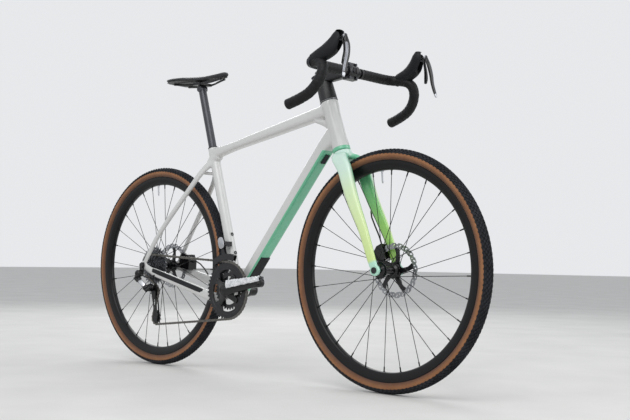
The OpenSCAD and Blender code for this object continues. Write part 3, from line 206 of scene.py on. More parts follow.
# gathers the meshes of one piece
class Bits:
    def __init__(self):
        self.verts = []
        self.faces = []
        self.mats = []

    def add(self, verts, faces, mat=0):
        base = len(self.verts)
        self.verts += [Vector(v) for v in verts]
        self.faces += [[base + i for i in f] for f in faces]
        self.mats += [mat] * len(faces)

    def skin(self, rings, mat=0, caps=True, pick=None):
        n = len(rings[0])
        m = len(rings)
        faces = []
        chosen = []
        for i in range(m - 1):
            for k in range(n):
                q = (k + 1) % n
                faces.append([i * n + k, i * n + q, (i + 1) * n + q, (i + 1) * n + k])
                chosen.append(pick(i, (k + 0.5) / n) if pick else mat)
        if caps:
            faces.append(list(range(n)))
            faces.append([(m - 1) * n + k for k in range(n)])
            chosen += [chosen[0], chosen[-1]]
        self.add([p for ring in rings for p in ring], faces)
        self.mats[-len(chosen):] = chosen

    # profile of (radius, place along the axis)
    def lathe(self, profile, centre, axis=(0, 1, 0), steps=64, mat=0, closed=False, pick=None):
        axis = Vector(axis).normalized()
        u = Vector((1, 0, 0)) if abs(axis.y) > 0.99 else axis.orthogonal().normalized()
        v = axis.cross(u)
        centre = Vector(centre)
        m = len(profile)
        verts = []
        for r, h in profile:
            for k in range(steps):
                a = 2 * math.pi * k / steps
                verts.append(centre + axis * h + u * (r * math.cos(a)) + v * (r * math.sin(a)))
        for i in range(m if closed else m - 1):
            j = (i + 1) % m
            faces = []
            for k in range(steps):
                q = (k + 1) % steps
                faces.append([i * steps + k, i * steps + q, j * steps + q, j * steps + k])
            middle = ((profile[i][0] + profile[j][0]) / 2, (profile[i][1] + profile[j][1]) / 2)
            self.addShared(verts if i == 0 else [], faces, pick(middle) if pick else mat, i == 0)
        if not closed:
            self.addShared([], [list(range(steps)), [(m - 1) * steps + k for k in range(steps)]], mat, False)

    def addShared(self, verts, faces, mat, fresh):
        if fresh:
            self.base = len(self.verts)
            self.verts += verts
        self.faces += [[self.base + i for i in f] for f in faces]
        self.mats += [mat] * len(faces)

    def tube(self, path, radius, steps=4, count=14, mat=0):
        self.skin(tubeRings(path, radius, steps, count), mat)

    def rod(self, a, b, r, count=20, mat=0, endRadius=None, chamfer=0.0):
        a, b = Vector(a), Vector(b)
        h = (b - a).length
        rb = r if endRadius is None else endRadius
        c = chamfer
        profile = [(r - c, 0), (r, c), (rb, h - c), (rb - c, h)] if c else [(r, 0), (rb, h)]
        self.lathe(profile, a, b - a, count, mat)

    # plate drawn in the XZ plane about centre, from y0 to y1
    def plate(self, outline, holes, y0, y1, centre=(0, 0, 0), mat=0):
        loops = [outline] + list(holes)
        flat = [p for loop in loops for p in loop]
        tris = tessellate_polygon([[Vector((p[0], p[1], 0)) for p in loop] for loop in loops])
        n = len(flat)
        verts = [Vector((centre[0] + p[0], y, centre[2] + p[1])) for y in (y0, y1) for p in flat]
        faces = [list(t) for t in tris] + [[i + n for i in reversed(t)] for t in tris]
        base = 0
        for loop in loops:
            m = len(loop)
            for k in range(m):
                q = (k + 1) % m
                faces.append([base + k, base + q, n + base + q, n + base + k])
            base += m
        self.add(verts, faces, mat)

    def block(self, centre, size, rotation=None, mat=0, taper=1.0):
        turn = rotation or Matrix.Identity(3)
        verts = []
        for z in (-1, 1):
            f = taper if z > 0 else 1.0
            for x, y in ((-1, -1), (1, -1), (1, 1), (-1, 1)):
                local = Vector((x * size[0] / 2 * f, y * size[1] / 2 * f, z * size[2] / 2))
                verts.append(Vector(centre) + turn @ local)
        faces = [[0, 3, 2, 1], [4, 5, 6, 7], [0, 1, 5, 4], [1, 2, 6, 5], [2, 3, 7, 6], [3, 0, 4, 7]]
        self.add(verts, faces, mat)

    # socket screw: head with a round, sunken recess
    def screw(self, place, axis, r, height, mat=0):
        axis = Vector(axis).normalized()
        place = Vector(place)
        c = r * 0.14
        self.lathe([(r - c, -0.4), (r, 0), (r, height - c), (r - c, height), (r * 0.56, height),
                    (r * 0.5, height * 0.4), (0.05, height * 0.35)], place, axis, 24, mat)


def applyModifiers(obj):
    deps = bpy.context.evaluated_depsgraph_get()
    made = bpy.data.meshes.new_from_object(obj.evaluated_get(deps), preserve_all_data_layers=True, depsgraph=deps)
    old = obj.data
    obj.modifiers.clear()
    obj.data = made
    bpy.data.meshes.remove(old)


def toObject(bits, name, materials, sharp=38):
    mesh = bpy.data.meshes.new(name)
    mesh.from_pydata([v * mm for v in bits.verts], [], bits.faces)
    for material in materials:
        mesh.materials.append(material)
    mesh.polygons.foreach_set("material_index", bits.mats)
    shape = bmesh.new()
    shape.from_mesh(mesh)
    bmesh.ops.recalc_face_normals(shape, faces=shape.faces)
    shape.to_mesh(mesh)
    shape.free()
    mesh.shade_smooth()
    mesh.set_sharp_from_angle(angle=math.radians(sharp))
    obj = bpy.data.objects.new(name, mesh)
    scene.collection.objects.link(obj)
    return obj


def settle(obj, body, stands=()):
    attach(obj, body)
    if stands:
        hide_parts(*stands)
    return obj


def makePiece(bits, name, materials, body, stands=(), sharp=38):
    return settle(toObject(bits, name, materials, sharp), body, stands)


# joins overlapping shells into one skin with softened corners
def fuse(obj, voxel, rounds):
    remesh = obj.modifiers.new("fuse", "REMESH")
    remesh.mode = "VOXEL"
    remesh.voxel_size = voxel * mm
    remesh.use_smooth_shade = True
    soften = obj.modifiers.new("soften", "SMOOTH")
    soften.factor = 0.5
    soften.iterations = rounds
    applyModifiers(obj)


# camera at the photograph's place, and plain light
camera = {"place": (2.2705, -2.2, 0.375), "right": (0.73405, 0.67896, 0.01499), "up": (0.02447, -0.04849, 0.99858),
          "ahead": (-0.6786, 0.7327, 0.0522), "lens": 55.77, "sensor": 36.0}
lamps = [("keyLight", (1.6, -2.6, 3.4), (0, 0, 0.5), 3.2, 78), ("fillLight", (3.2, 1.8, 1.8), (0.2, 0, 0.5), 2.4, 30),
         ("backLight", (-2.6, 2.4, 2.8), (-0.2, 0, 0.6), 2.6, 48)]


def setCamera():
    data = bpy.data.cameras.new("viewCamera")
    data.lens = camera["lens"]
    data.sensor_width = camera["sensor"]
    data.sensor_fit = "HORIZONTAL"
    data.clip_end = 100
    obj = bpy.data.objects.new("viewCamera", data)
    r, u, a = camera["right"], camera["up"], camera["ahead"]
    p = camera["place"]
    obj.matrix_world = Matrix([[r[i], u[i], -a[i], p[i]] for i in range(3)] + [[0, 0, 0, 1]])
    scene.collection.objects.link(obj)
    scene.camera = obj


def setLights():
    for name, place, target, size, power in lamps:
        data = bpy.data.lights.new(name, "AREA")
        data.size = size
        data.energy = power
        obj = bpy.data.objects.new(name, data)
        obj.location = place
        obj.rotation_euler = (Vector(target) - Vector(place)).to_track_quat("-Z", "Y").to_euler()
        scene.collection.objects.link(obj)
    world = bpy.data.worlds.new("softSky")
    scene.world = world
    world.use_nodes = True
    tree = world.node_tree
    tree.nodes.clear()
    out = tree.nodes.new("ShaderNodeOutputWorld")
    mix = tree.nodes.new("ShaderNodeMixShader")
    lit = tree.nodes.new("ShaderNodeBackground")
    seen = tree.nodes.new("ShaderNodeBackground")
    lit.inputs["Color"].default_value = (0.93, 0.96, 1.0, 1)
    lit.inputs["Strength"].default_value = 0.62
    seen.inputs["Color"].default_value = (0.80, 0.81, 0.83, 1)
    seen.inputs["Strength"].default_value = 1.0
    path = tree.nodes.new("ShaderNodeLightPath")
    first = tree.nodes.new("ShaderNodeMath")
    first.operation = "MAXIMUM"
    second = tree.nodes.new("ShaderNodeMath")
    second.operation = "MAXIMUM"
    tree.links.new(path.outputs["Is Camera Ray"], first.inputs[0])
    tree.links.new(path.outputs["Is Glossy Ray"], first.inputs[1])
    tree.links.new(first.outputs[0], second.inputs[0])
    tree.links.new(path.outputs["Is Transmission Ray"], second.inputs[1])
    tree.links.new(second.outputs[0], mix.inputs[0])
    tree.links.new(lit.outputs[0], mix.inputs[1])
    tree.links.new(seen.outputs[0], mix.inputs[2])
    tree.links.new(mix.outputs[0], out.inputs["Surface"])
    scene.view_settings.view_transform = "Standard"


setCamera()
setLights()


# materials
def paint(r, g, b):
    def linear(c):
        c /= 255
        return c / 12.92 if c <= 0.04045 else ((c + 0.055) / 1.055) ** 2.4
    return (linear(r), linear(g), linear(b), 1.0)


def shaded(colour, factor):
    return tuple(min(c * factor, 1.0) for c in colour[:3]) + (1.0,)


class Finish:
    def __init__(self, name):
        self.material = bpy.data.materials.new(name)
        self.material.use_nodes = True
        self.tree = self.material.node_tree
        self.shader = self.tree.nodes["Principled BSDF"]
        self.place = self.tree.nodes.new("ShaderNodeTexCoord").outputs["Object"]

    def node(self, kind, **settings):
        made = self.tree.nodes.new(kind)
        for key, value in settings.items():
            setattr(made, key, value)
        return made

    def link(self, a, b):
        self.tree.links.new(a, b)

    def uniform(self, **values):
        for key, value in values.items():
            self.shader.inputs[key.replace("_", " ")].default_value = value

    def grain(self, scale, detail=3.0, stretch=None, rough=0.5):
        tex = self.node("ShaderNodeTexNoise")
        tex.inputs["Scale"].default_value = scale
        tex.inputs["Detail"].default_value = detail
        tex.inputs["Roughness"].default_value = rough
        where = self.place
        if stretch:
            mapping = self.node("ShaderNodeMapping")
            mapping.inputs["Scale"].default_value = stretch
            self.link(where, mapping.inputs["Vector"])
            where = mapping.outputs["Vector"]
        self.link(where, tex.inputs["Vector"])
        return tex.outputs["Fac"]

    def cells(self, scale, feature="F1", randomness=1.0):
        tex = self.node("ShaderNodeTexVoronoi", feature=feature)
        tex.inputs["Scale"].default_value = scale
        tex.inputs["Randomness"].default_value = randomness
        self.link(self.place, tex.inputs["Vector"])
        return tex.outputs["Distance"]

    def span(self, value, low, high, toLow=0.0, toHigh=1.0):
        made = self.node("ShaderNodeMapRange", clamp=True)
        made.inputs["From Min"].default_value = low
        made.inputs["From Max"].default_value = high
        made.inputs["To Min"].default_value = toLow
        made.inputs["To Max"].default_value = toHigh
        self.link(value, made.inputs["Value"])
        return made.outputs["Result"]

    def sums(self, operation, a, b):
        made = self.node("ShaderNodeMath", operation=operation)
        for i, v in enumerate((a, b)):
            if isinstance(v, (int, float)):
                made.inputs[i].default_value = v
            else:
                self.link(v, made.inputs[i])
        return made.outputs[0]

    def blend(self, factor, a, b):
        made = self.node("ShaderNodeMix", data_type="RGBA")
        self.link(factor, made.inputs[0])
        for i, v in ((6, a), (7, b)):
            if isinstance(v, tuple):
                made.inputs[i].default_value = v
            else:
                self.link(v, made.inputs[i])
        return made.outputs[2]

    # distance along a direction from a point given in millimetres, in metres
    def along(self, direction, start):
        made = self.node("ShaderNodeVectorMath", operation="DOT_PRODUCT")
        made.inputs[1].default_value = tuple(direction)
        self.link(self.place, made.inputs[0])
        return self.sums("SUBTRACT", made.outputs["Value"], direction.dot(start) * mm)

    # distance from an axle, in metres
    def fromAxle(self, centre):
        moved = self.node("ShaderNodeVectorMath", operation="SUBTRACT")
        self.link(self.place, moved.inputs[0])
        moved.inputs[1].default_value = tuple(centre * mm)
        flat = self.node("ShaderNodeVectorMath", operation="MULTIPLY")
        self.link(moved.outputs["Vector"], flat.inputs[0])
        flat.inputs[1].default_value = (1, 0, 1)
        length = self.node("ShaderNodeVectorMath", operation="LENGTH")
        self.link(flat.outputs["Vector"], length.inputs[0])
        return length.outputs["Value"]

    def colour(self, value):
        self.link(value, self.shader.inputs["Base Color"])

    def roughness(self, value):
        self.link(value, self.shader.inputs["Roughness"])

    def bump(self, height, strength=0.2, distance=0.0005, before=None):
        made = self.node("ShaderNodeBump")
        made.inputs["Strength"].default_value = strength
        made.inputs["Distance"].default_value = distance
        self.link(height, made.inputs["Height"])
        if before:
            self.link(before, made.inputs["Normal"])
        self.link(made.outputs["Normal"], self.shader.inputs["Normal"])
        return made.outputs["Normal"]


def plainFinish(name, colour, rough, metal=0.0, spread=0.1, scale=40.0, fine=900.0, bump=0.1, coat=0.0, wear=0.06,
                shine=0.5):
    f = Finish(name)
    f.uniform(Metallic=metal, Coat_Weight=coat, Coat_Roughness=0.08, Specular_IOR_Level=shine)
    patch = f.grain(scale, 4.0)
    f.colour(f.blend(f.span(patch, 0.3, 0.7), shaded(colour, 1 - spread), shaded(colour, 1 + spread)))
    f.roughness(f.span(f.grain(scale * 2.3, 5.0), 0.3, 0.7, max(rough - wear, 0.03), min(rough + wear, 1.0)))
    if bump:
        f.bump(f.grain(fine, 2.0), bump, 0.0003)
    return f.material


def framePaintFinish():
    f = Finish("framePaint")
    f.uniform(Metallic=0.0, Coat_Weight=0.8, Coat_Roughness=0.05)
    silver = paint(212, 212, 210)
    mint = paint(110, 196, 156)
    flake = f.span(f.cells(1500.0), 0.0, 0.5)
    grey = f.blend(flake, shaded(silver, 1.05), shaded(silver, 0.93))
    green = f.blend(flake, shaded(mint, 1.05), shaded(mint, 0.94))
    under = f.span(f.along(downUp, downStart), -0.0125, -0.0119, 1.0, 0.0)
    behind = f.sums("SUBTRACT", f.sums("MULTIPLY", f.along(steerAhead, steerFoot), -1.0), 0.024)
    height = f.sums("SUBTRACT", f.along(steerUp, steerFoot), f.sums("MULTIPLY", f.sums("MAXIMUM", behind, 0.0), 0.5))
    limit = f.span(height, (headBottom + 11) * mm, (headBottom + 11.6) * mm, 1.0, 0.0)
    ahead = f.span(f.along(downAlong, downStart), 0.02, 0.0206)
    f.colour(f.blend(f.sums("MULTIPLY", f.sums("MULTIPLY", under, ahead), limit), grey, green))
    f.roughness(f.span(f.grain(30.0, 4.0), 0.3, 0.7, 0.26, 0.36))
    f.bump(f.grain(2400.0, 1.0), 0.03, 0.0002)
    return f.material


def forkPaintFinish():
    f = Finish("forkPaint")
    f.uniform(Coat_Weight=0.8, Coat_Roughness=0.05)
    height = f.along(steerUp, steerFoot)
    facing = f.node("ShaderNodeNewGeometry").outputs["Normal"]
    split = f.node("ShaderNodeSeparateXYZ")
    f.link(facing, split.inputs[0])
    where = f.node("ShaderNodeSeparateXYZ")
    f.link(f.place, where.inputs[0])
    outward = f.sums("MULTIPLY", split.outputs["Y"], f.sums("SIGN", where.outputs["Y"], 0.0))

    def fade(stops):
        ramp = f.node("ShaderNodeValToRGB")
        ramp.color_ramp.elements[0].position = stops[0][0]
        ramp.color_ramp.elements[0].color = stops[0][1]
        ramp.color_ramp.elements[1].position = stops[-1][0]
        ramp.color_ramp.elements[1].color = stops[-1][1]
        for position, colour in stops[1:-1]:
            ramp.color_ramp.elements.new(position).color = colour
        f.link(f.span(height, 0.0, 0.4), ramp.inputs[0])
        return ramp.outputs[0]
    # painted light: outward-facing sides take a paler, washed-out copy of the paint's colours, a painted highlight on
    # the lit outer faces; inward faces take the paint's own deeper greens
    outer = fade([(0.0, paint(178, 228, 206)), (0.055, paint(182, 230, 206)), (0.075, paint(208, 230, 146)),
                  (0.35, paint(216, 236, 168)), (0.62, paint(218, 240, 192)), (0.8, paint(214, 240, 224)),
                  (1.0, paint(212, 240, 228))])
    inner = fade([(0.0, paint(150, 214, 190)), (0.055, paint(150, 214, 190)), (0.075, paint(166, 214, 104)),
                  (0.35, paint(150, 208, 104)), (0.6, paint(112, 192, 118)), (0.8, paint(108, 196, 152)),
                  (1.0, paint(110, 198, 158))])
    # mixes by which way each face points: painted highlight on outer faces, the paint's own colours on inner faces
    base = f.blend(f.span(outward, -0.35, 0.15), inner, outer)
    dots = f.span(f.cells(420.0), 0.16, 0.2, 1.0, 0.0)
    band = f.sums("MULTIPLY", f.span(height, 0.1, 0.18), f.span(height, 0.27, 0.33, 1.0, 0.0))
    dense = f.sums("MULTIPLY", band, f.span(f.grain(60.0, 2.0), 0.35, 0.6))
    f.colour(f.blend(f.sums("MULTIPLY", f.sums("MULTIPLY", dots, dense), 0.7), base, paint(240, 248, 214)))
    f.roughness(f.span(f.grain(30.0, 4.0), 0.3, 0.7, 0.26, 0.36))
    f.bump(f.grain(2400.0, 1.0), 0.03, 0.0002)
    return f.material


def sidewallFinish(name, centre):
    f = Finish(name)
    f.uniform(Sheen_Weight=0.1)
    radius = f.fromAxle(centre)
    outer = f.blend(f.span(f.grain(26.0, 5.0), 0.3, 0.7), paint(142, 92, 54), paint(164, 112, 70))
    broad = f.blend(f.span(radius, 0.320, 0.332), paint(88, 56, 36), outer)
    threads = f.span(f.grain(900.0, 2.0), 0.35, 0.65)
    f.colour(f.blend(f.sums("MULTIPLY", threads, 0.5), broad, paint(100, 62, 38)))
    f.roughness(f.span(f.grain(80.0, 3.0), 0.3, 0.7, 0.55, 0.72))
    f.bump(f.grain(1400.0, 2.0), 0.25, 0.0003)
    return f.material


def rubberFinish(name, colour, rough=0.75, fine=1200.0, bump=0.3, dusty=1.9):
    f = Finish(name)
    dust = f.blend(f.span(f.grain(18.0, 6.0, rough=0.7), 0.35, 0.75), colour, shaded(colour, dusty))
    f.uniform(Specular_IOR_Level=0.22)
    f.colour(dust)
    f.roughness(f.span(f.grain(90.0, 4.0), 0.3, 0.7, rough - 0.08, min(rough + 0.1, 1.0)))
    f.bump(f.grain(fine, 3.0), bump, 0.0004)
    return f.material


def tapeFinish():
    f = Finish("barTape")
    f.uniform(Specular_IOR_Level=0.25)
    f.colour(f.blend(f.span(f.grain(50.0, 4.0), 0.3, 0.7), paint(15, 15, 17), paint(27, 27, 29)))
    f.roughness(f.span(f.grain(140.0, 3.0), 0.3, 0.7, 0.42, 0.6))
    pores = f.span(f.cells(900.0), 0.1, 0.45)
    f.bump(pores, 0.35, 0.0004)
    return f.material


def saddleFinish():
    f = Finish("saddleSkin")
    f.uniform(Sheen_Weight=0.05)
    f.colour(f.blend(f.span(f.grain(40.0, 4.0), 0.3, 0.7), paint(27, 28, 30), paint(38, 39, 42)))
    f.roughness(f.span(f.grain(60.0, 3.0), 0.3, 0.7, 0.42, 0.56))
    f.bump(f.span(f.cells(1300.0, "DISTANCE_TO_EDGE"), 0.0, 0.12), 0.25, 0.0003)
    return f.material


def brushedFinish(name, colour, rough, stretch):
    f = Finish(name)
    f.uniform(Metallic=1.0)
    lines = f.grain(220.0, 3.0, stretch)
    f.colour(f.blend(f.span(lines, 0.3, 0.7), shaded(colour, 0.85), shaded(colour, 1.1)))
    f.roughness(f.span(lines, 0.3, 0.7, rough - 0.06, rough + 0.08))
    f.bump(lines, 0.05, 0.0002)
    return f.material


def filmFinish():
    f = Finish("bubbleFilm")
    f.uniform(Transmission_Weight=0.15, IOR=1.45, Coat_Weight=0.5, Coat_Roughness=0.12)
    f.colour(f.blend(f.span(f.grain(120.0, 4.0), 0.45, 0.68), paint(247, 248, 250), paint(206, 209, 213)))
    f.roughness(f.span(f.grain(200.0, 3.0), 0.3, 0.7, 0.18, 0.4))
    f.bump(f.span(f.cells(170.0), 0.0, 0.6, 1.0, 0.0), 0.6, 0.0015)
    return f.material


framePaint = framePaintFinish()
forkPaint = forkPaintFinish()
frontSidewall = sidewallFinish("frontSidewall", frontHub)
rearSidewall = sidewallFinish("rearSidewall", rearHub)
treadRubber = rubberFinish("treadRubber", paint(30, 31, 34), 0.75, 1200.0, 0.3, 2.6)
guardRubber = rubberFinish("guardRubber", paint(34, 35, 37), 0.6, 700.0, 0.2)
hoodRubber = rubberFinish("hoodRubber", paint(22, 23, 25), 0.5, 1000.0, 0.25, 1.6)
tubeRubber = rubberFinish("tubeRubber", paint(38, 38, 40))
hoseSkin = plainFinish("hoseSkin", paint(22, 22, 24), 0.42)
barTape = tapeFinish()
saddleSkin = saddleFinish()
saddleShell = plainFinish("saddleShell", paint(24, 24, 26), 0.38, spread=0.2, fine=600.0)
blackAlloy = plainFinish("blackAlloy", paint(30, 30, 33), 0.34, 0.4, 0.15, 60.0, 1500.0, 0.06, 0.25)
darkAlloy = plainFinish("darkAlloy", paint(62, 63, 68), 0.34, 0.7, 0.12, 60.0, 1500.0, 0.06)
blackPlastic = plainFinish("blackPlastic", paint(24, 24, 26), 0.45, 0.0, 0.15, 50.0, 1100.0, 0.12)
glossBlack = plainFinish("glossBlack", paint(13, 13, 15), 0.2, 0.1, 0.2, 40.0, 900.0, 0.03, 0.35, shine=0.3)
postFinish = plainFinish("postFinish", paint(66, 68, 73), 0.36, 0.5, 0.1, 30.0, 1600.0, 0.05, 0.2)
rimBlack = plainFinish("rimBlack", paint(14, 14, 16), 0.34, 0.1, 0.12, 25.0, 1200.0, 0.05, 0.1, shine=0.25)
spokeBlack = plainFinish("spokeBlack", paint(26, 26, 28), 0.3, 0.6, 0.1, 60.0, 1200.0, 0.03)
silverAlloy = plainFinish("silverAlloy", paint(188, 190, 194), 0.3, 0.9, 0.06, 50.0, 1600.0, 0.05)
# grey for the outer cheek of the brake levers: painted light, the lit outer side of a black blade
litCheekGrey = plainFinish("litCheekGrey", paint(138, 140, 145), 0.36, 0.8, 0.06, 50.0, 1600.0, 0.05)
polishedSteel = plainFinish("polishedSteel", paint(158, 160, 163), 0.3, 0.95, 0.04, 30.0, 1600.0, 0.0)
cogSteel = brushedFinish("cogSteel", paint(128, 130, 134), 0.36, (1, 14, 1))
chainSteel = brushedFinish("chainSteel", paint(112, 110, 106), 0.38, (3, 10, 3))
padCompound = plainFinish("padCompound", paint(74, 70, 66), 0.8, 0.1, 0.25, 120.0, 900.0, 0.4)
bubbleFilm = filmFinish()
print("materials made")


# floor
def setFloor():
    mesh = bpy.data.meshes.new("floor")
    reach = 30
    mesh.from_pydata([(-reach, -reach, 0), (reach, -reach, 0), (reach, reach, 0), (-reach, reach, 0)], [],
                     [[0, 1, 2, 3]])
    f = Finish("paleFloor")
    f.colour(f.blend(f.span(f.grain(3.0, 5.0), 0.3, 0.7), paint(212, 211, 208), paint(221, 220, 217)))
    f.roughness(f.span(f.grain(9.0, 4.0), 0.3, 0.7, 0.75, 0.9))
    mesh.materials.append(f.material)
    obj = bpy.data.objects.new("floor", mesh)
    scene.collection.objects.link(obj)


setFloor()

# frame: lofted tubes joined into one skin
frameSet = {"downHalfWide": [25, 25, 25, 24, 21], "downHalfDeep": [18.5, 18.5, 19.5, 23.5, 31.5],
            "topHalfWide": [16, 18, 20, 21], "topHalfDeep": [19, 13.5, 16, 19.5], "voxel": 2.0, "soften": 7,
            "stayHalfWide": [9, 9, 7.2, 7.2, 7.5, 7, 5.2, 4], "stayHalfDeep": [15, 15, 15.5, 16, 16, 14.5, 12, 11],
            "rightLower": [5, 5, 24, 28, 22, 5, 2, 0]}


def buildFrame():
    s = frameSet
    b = Bits()
    span = downEnd - downStart
    drop = downUp * 9
    down = [downStart, downStart + span * 0.5, downStart + span * 0.86, downStart + span * 0.93 - drop * 0.3,
            downEnd - drop]
    b.skin(loftRings(down, s["downHalfWide"], s["downHalfDeep"], [0.5, 0.42, 0.42, 0.48, 0.6], count=56))
    back = seatPoint(bike["seatTube"] - 22)
    front = steerPoint(0, 0, headTop - 24)
    top = [back, back * 0.8 + front * 0.2, (back + front) / 2, front]
    b.skin(loftRings(top, s["topHalfWide"], s["topHalfDeep"], 0.6, count=48, steps=8))
    b.lathe([(27.4, 0), (27.5, 12), (26.2, 26), (25, 42), (25, 122), (26.2, 138), (27.5, 152), (27.4, 164)],
            steerPoint(0, 0, headBottom), steerUp, 64)
    b.rod(seatPoint(0), seatPoint(bike["seatTube"]), 17, 48)
    b.rod(bottomBracket - Vector((0, 34, 0)), bottomBracket + Vector((0, 34, 0)), 20, 48)
    dropY = 75.5
    chainstay = [bottomBracket + Vector(p) for p in ((-8, 17, -4), (-14, 20, -4), (-52, 30, 0), (-92, 38, 6),
                                                     (-150, 50, 18))]
    chainstay += [rearHub + Vector((90, dropY - 4, -26)), rearHub + Vector((42, dropY, -15)),
                  rearHub + Vector((12, dropY, -4))]
    stayTop = seatPoint(bike["seatTube"] - 44)
    seatstay = [stayTop + Vector(p) for p in ((4, 6, 0), (-26, 24, -30), (-62, 44, -82))]
    seatstay += [rearHub + Vector((86, dropY - 6, 120)), rearHub + Vector((30, dropY, 42)),
                 rearHub + Vector((8, dropY, 10))]
    for side in (-1, 1):
        stay = mirrored(chainstay, side)
        if side < 0:
            stay = [p - Vector((0, 0, lower)) for p, lower in zip(stay, s["rightLower"])]
        b.skin(loftRings(stay, s["stayHalfWide"], s["stayHalfDeep"], 0.62, count=28, steps=8))
        b.skin(loftRings(mirrored(seatstay, side), [8, 8, 7.5, 7, 5, 4], [14, 11, 9, 8.5, 9, 8.5], 0.8,
                         count=28, steps=8))
        b.rod(rearHub + Vector((0, side * 71, 0)), rearHub + Vector((0, side * 79, 0)), 15.5, 40)
    bridge = seatstay[1] + Vector((-7, 0, -12))
    b.rod((bridge.x, -24, bridge.z), (bridge.x, 24, bridge.z), 6.2, 24)
    b.skin(loftRings([stayTop + Vector((16, 0, 20)), stayTop + Vector((-8, 0, 0)), stayTop + Vector((-26, 0, -20))],
                     [16, 18, 20], [22, 16, 9], 0.75, count=28))
    gusset = [steerPoint(-8, 0, headTop - 86), steerPoint(-28, 0, headTop - 58), steerPoint(-64, 0, headTop - 34)]
    b.skin(loftRings(gusset, [13, 16, 16], [12, 12, 6], 0.7, count=28))
    obj = toObject(b, "bikeFrame", [framePaint])
    fuse(obj, s["voxel"], s["soften"])
    settle(obj, "frame", ["frame"])


buildFrame()
print("frame done")

# fork: crown, two blades and dropout rings joined into one skin
forkSet = {"blade": [(1, 8, 379), (8, 29, 370), (17, 39, 352), (24, 42, 330), (27, 43.5, 314), (28, 45.5, 266.6),
                     (31.5, 48, 210.1), (43, 52, 126.6), (47.5, 55, 32), (50, 55, 4)],
           "wide": [24, 24, 23.5, 23.5, 23.5, 22, 19.5, 15.5, 13.5, 12],
           "thick": [11, 12, 12.5, 12, 11.5, 11, 10, 8.5, 7.5, 5.4]}


def buildFork():
    s = forkSet
    b = Bits()
    for side in (-1, 1):
        path = [steerPoint(x, y * side, t) for x, y, t in s["blade"]]
        b.skin(loftRings(path, s["wide"], s["thick"], 0.66, (1, 0, 0), 6, 40))
        b.rod(frontHub + Vector((0, side * 50, 0)), frontHub + Vector((0, side * 60, 0)), 16, 44)
    crown = bike["crown"]
    b.lathe([(27.2, -11), (27.5, -9), (27.5, 0)], steerPoint(0, 0, crown), steerUp, 56)
    b.skin(loftRings([steerPoint(0, 0, crown - 2), steerPoint(0, 0, crown - 9), steerPoint(1, 0, crown - 17),
                      steerPoint(2, 0, crown - 25)], [27, 28.5, 35, 38], [27, 27, 26, 22], 0.85, count=48))
    obj = toObject(b, "forkBlades", [forkPaint])
    fuse(obj, 2.0, 6)
    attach(obj, "fork")
    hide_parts("fork")
    inside = Bits()
    inside.rod(steerPoint(0, 0, crown - 6), steerPoint(0, 0, 657), 14.3, 32)
    inside.lathe([(19.9, 0), (19.9, 31), (14.4, 50)], steerPoint(0, 0, crown), steerUp, 32)
    makePiece(inside, "steererTube", [blackAlloy], "fork")


buildFork()
print("fork done")

# wheels
wheelSet = {"casingMiddle": 331, "casingHalfWide": 19.0, "casingHalfDeep": 16.8, "valveAngle": 94.5, "steps": 180,
            "knobs": 150}
# tread rows: angle on the casing, knob length, width, height, share of a pitch that the row is shifted by
treadRows = [(90, 7.6, 4.2, 3.1, 0.0), (77, 7.2, 3.8, 3.0, 0.5), (64, 7.6, 4.0, 3.0, 0.0), (50, 8.4, 4.8, 3.2, 0.5),
             (36, 8.8, 5.0, 3.0, 0.0), (22, 5.6, 4.2, 1.3, 0.5)]
# the frame model's name for each wheel part
partOf = {"Tyre": "_tyre", "Rim": "_rim", "Tube": "_inner_tube", "Rotor": "_rotor"}


def buildTyre(prefix, centre, sidewall):
    s = wheelSet
    b = Bits()
    outer = []
    for k in range(27):
        a = math.radians(-40 + 130 * k / 26)
        outer.append((s["casingMiddle"] + s["casingHalfDeep"] * math.sin(a), s["casingHalfWide"] * math.cos(a)))
    half = [(309.2, 11.0), (316.5, 11.3), (318.2, 13.4)] + outer
    profile = half + [(r, -y) for r, y in half[::-1][1:]]

    def zone(middle):
        return 1 if 318.6 < middle[0] < 336.4 and abs(middle[1]) > 11.5 else 0
    b.lathe(profile, centre, (0, 1, 0), s["steps"], closed=True, pick=zone)
    count = s["knobs"]
    for angle, length, width, height, shift in treadRows:
        for side in ((1,) if angle == 90 else (1, -1)):
            a = math.radians(angle)
            r = s["casingMiddle"] + s["casingHalfDeep"] * math.sin(a)
            y = s["casingHalfWide"] * math.cos(a) * side
            outR, outY = math.sin(a), math.cos(a) * side
            for k in range(count):
                q = 2 * math.pi * (k + shift + (0.25 if side < 0 else 0)) / count
                radial = Vector((math.cos(q), 0, math.sin(q)))
                round_ = Vector((-math.sin(q), 0, math.cos(q)))
                normal = radial * outR + Vector((0, outY, 0))
                across = normal.cross(round_)
                place = centre + radial * r + Vector((0, y, 0))
                skew = 0.22 * side if angle != 90 else 0
                low = [place - normal * 0.5 + round_ * (u * length / 2 + v * skew * width) + across * (v * width / 2)
                       for u, v in ((-1, -1), (1, -1), (1, 1), (-1, 1))]
                high = [place + normal * height + (p - place + normal * 0.5) * 0.8 for p in low]
                b.add(low + high, [[4, 5, 6, 7], [0, 1, 5, 4], [1, 2, 6, 5], [2, 3, 7, 6], [3, 0, 4, 7]])
    wheelPiece(b, prefix, "Tyre", [treadRubber, sidewall], 30)


def wheelPiece(bits, prefix, part, materials, sharp=38):
    makePiece(bits, prefix + part, materials, prefix + "_wheel", [prefix + partOf[part]], sharp)


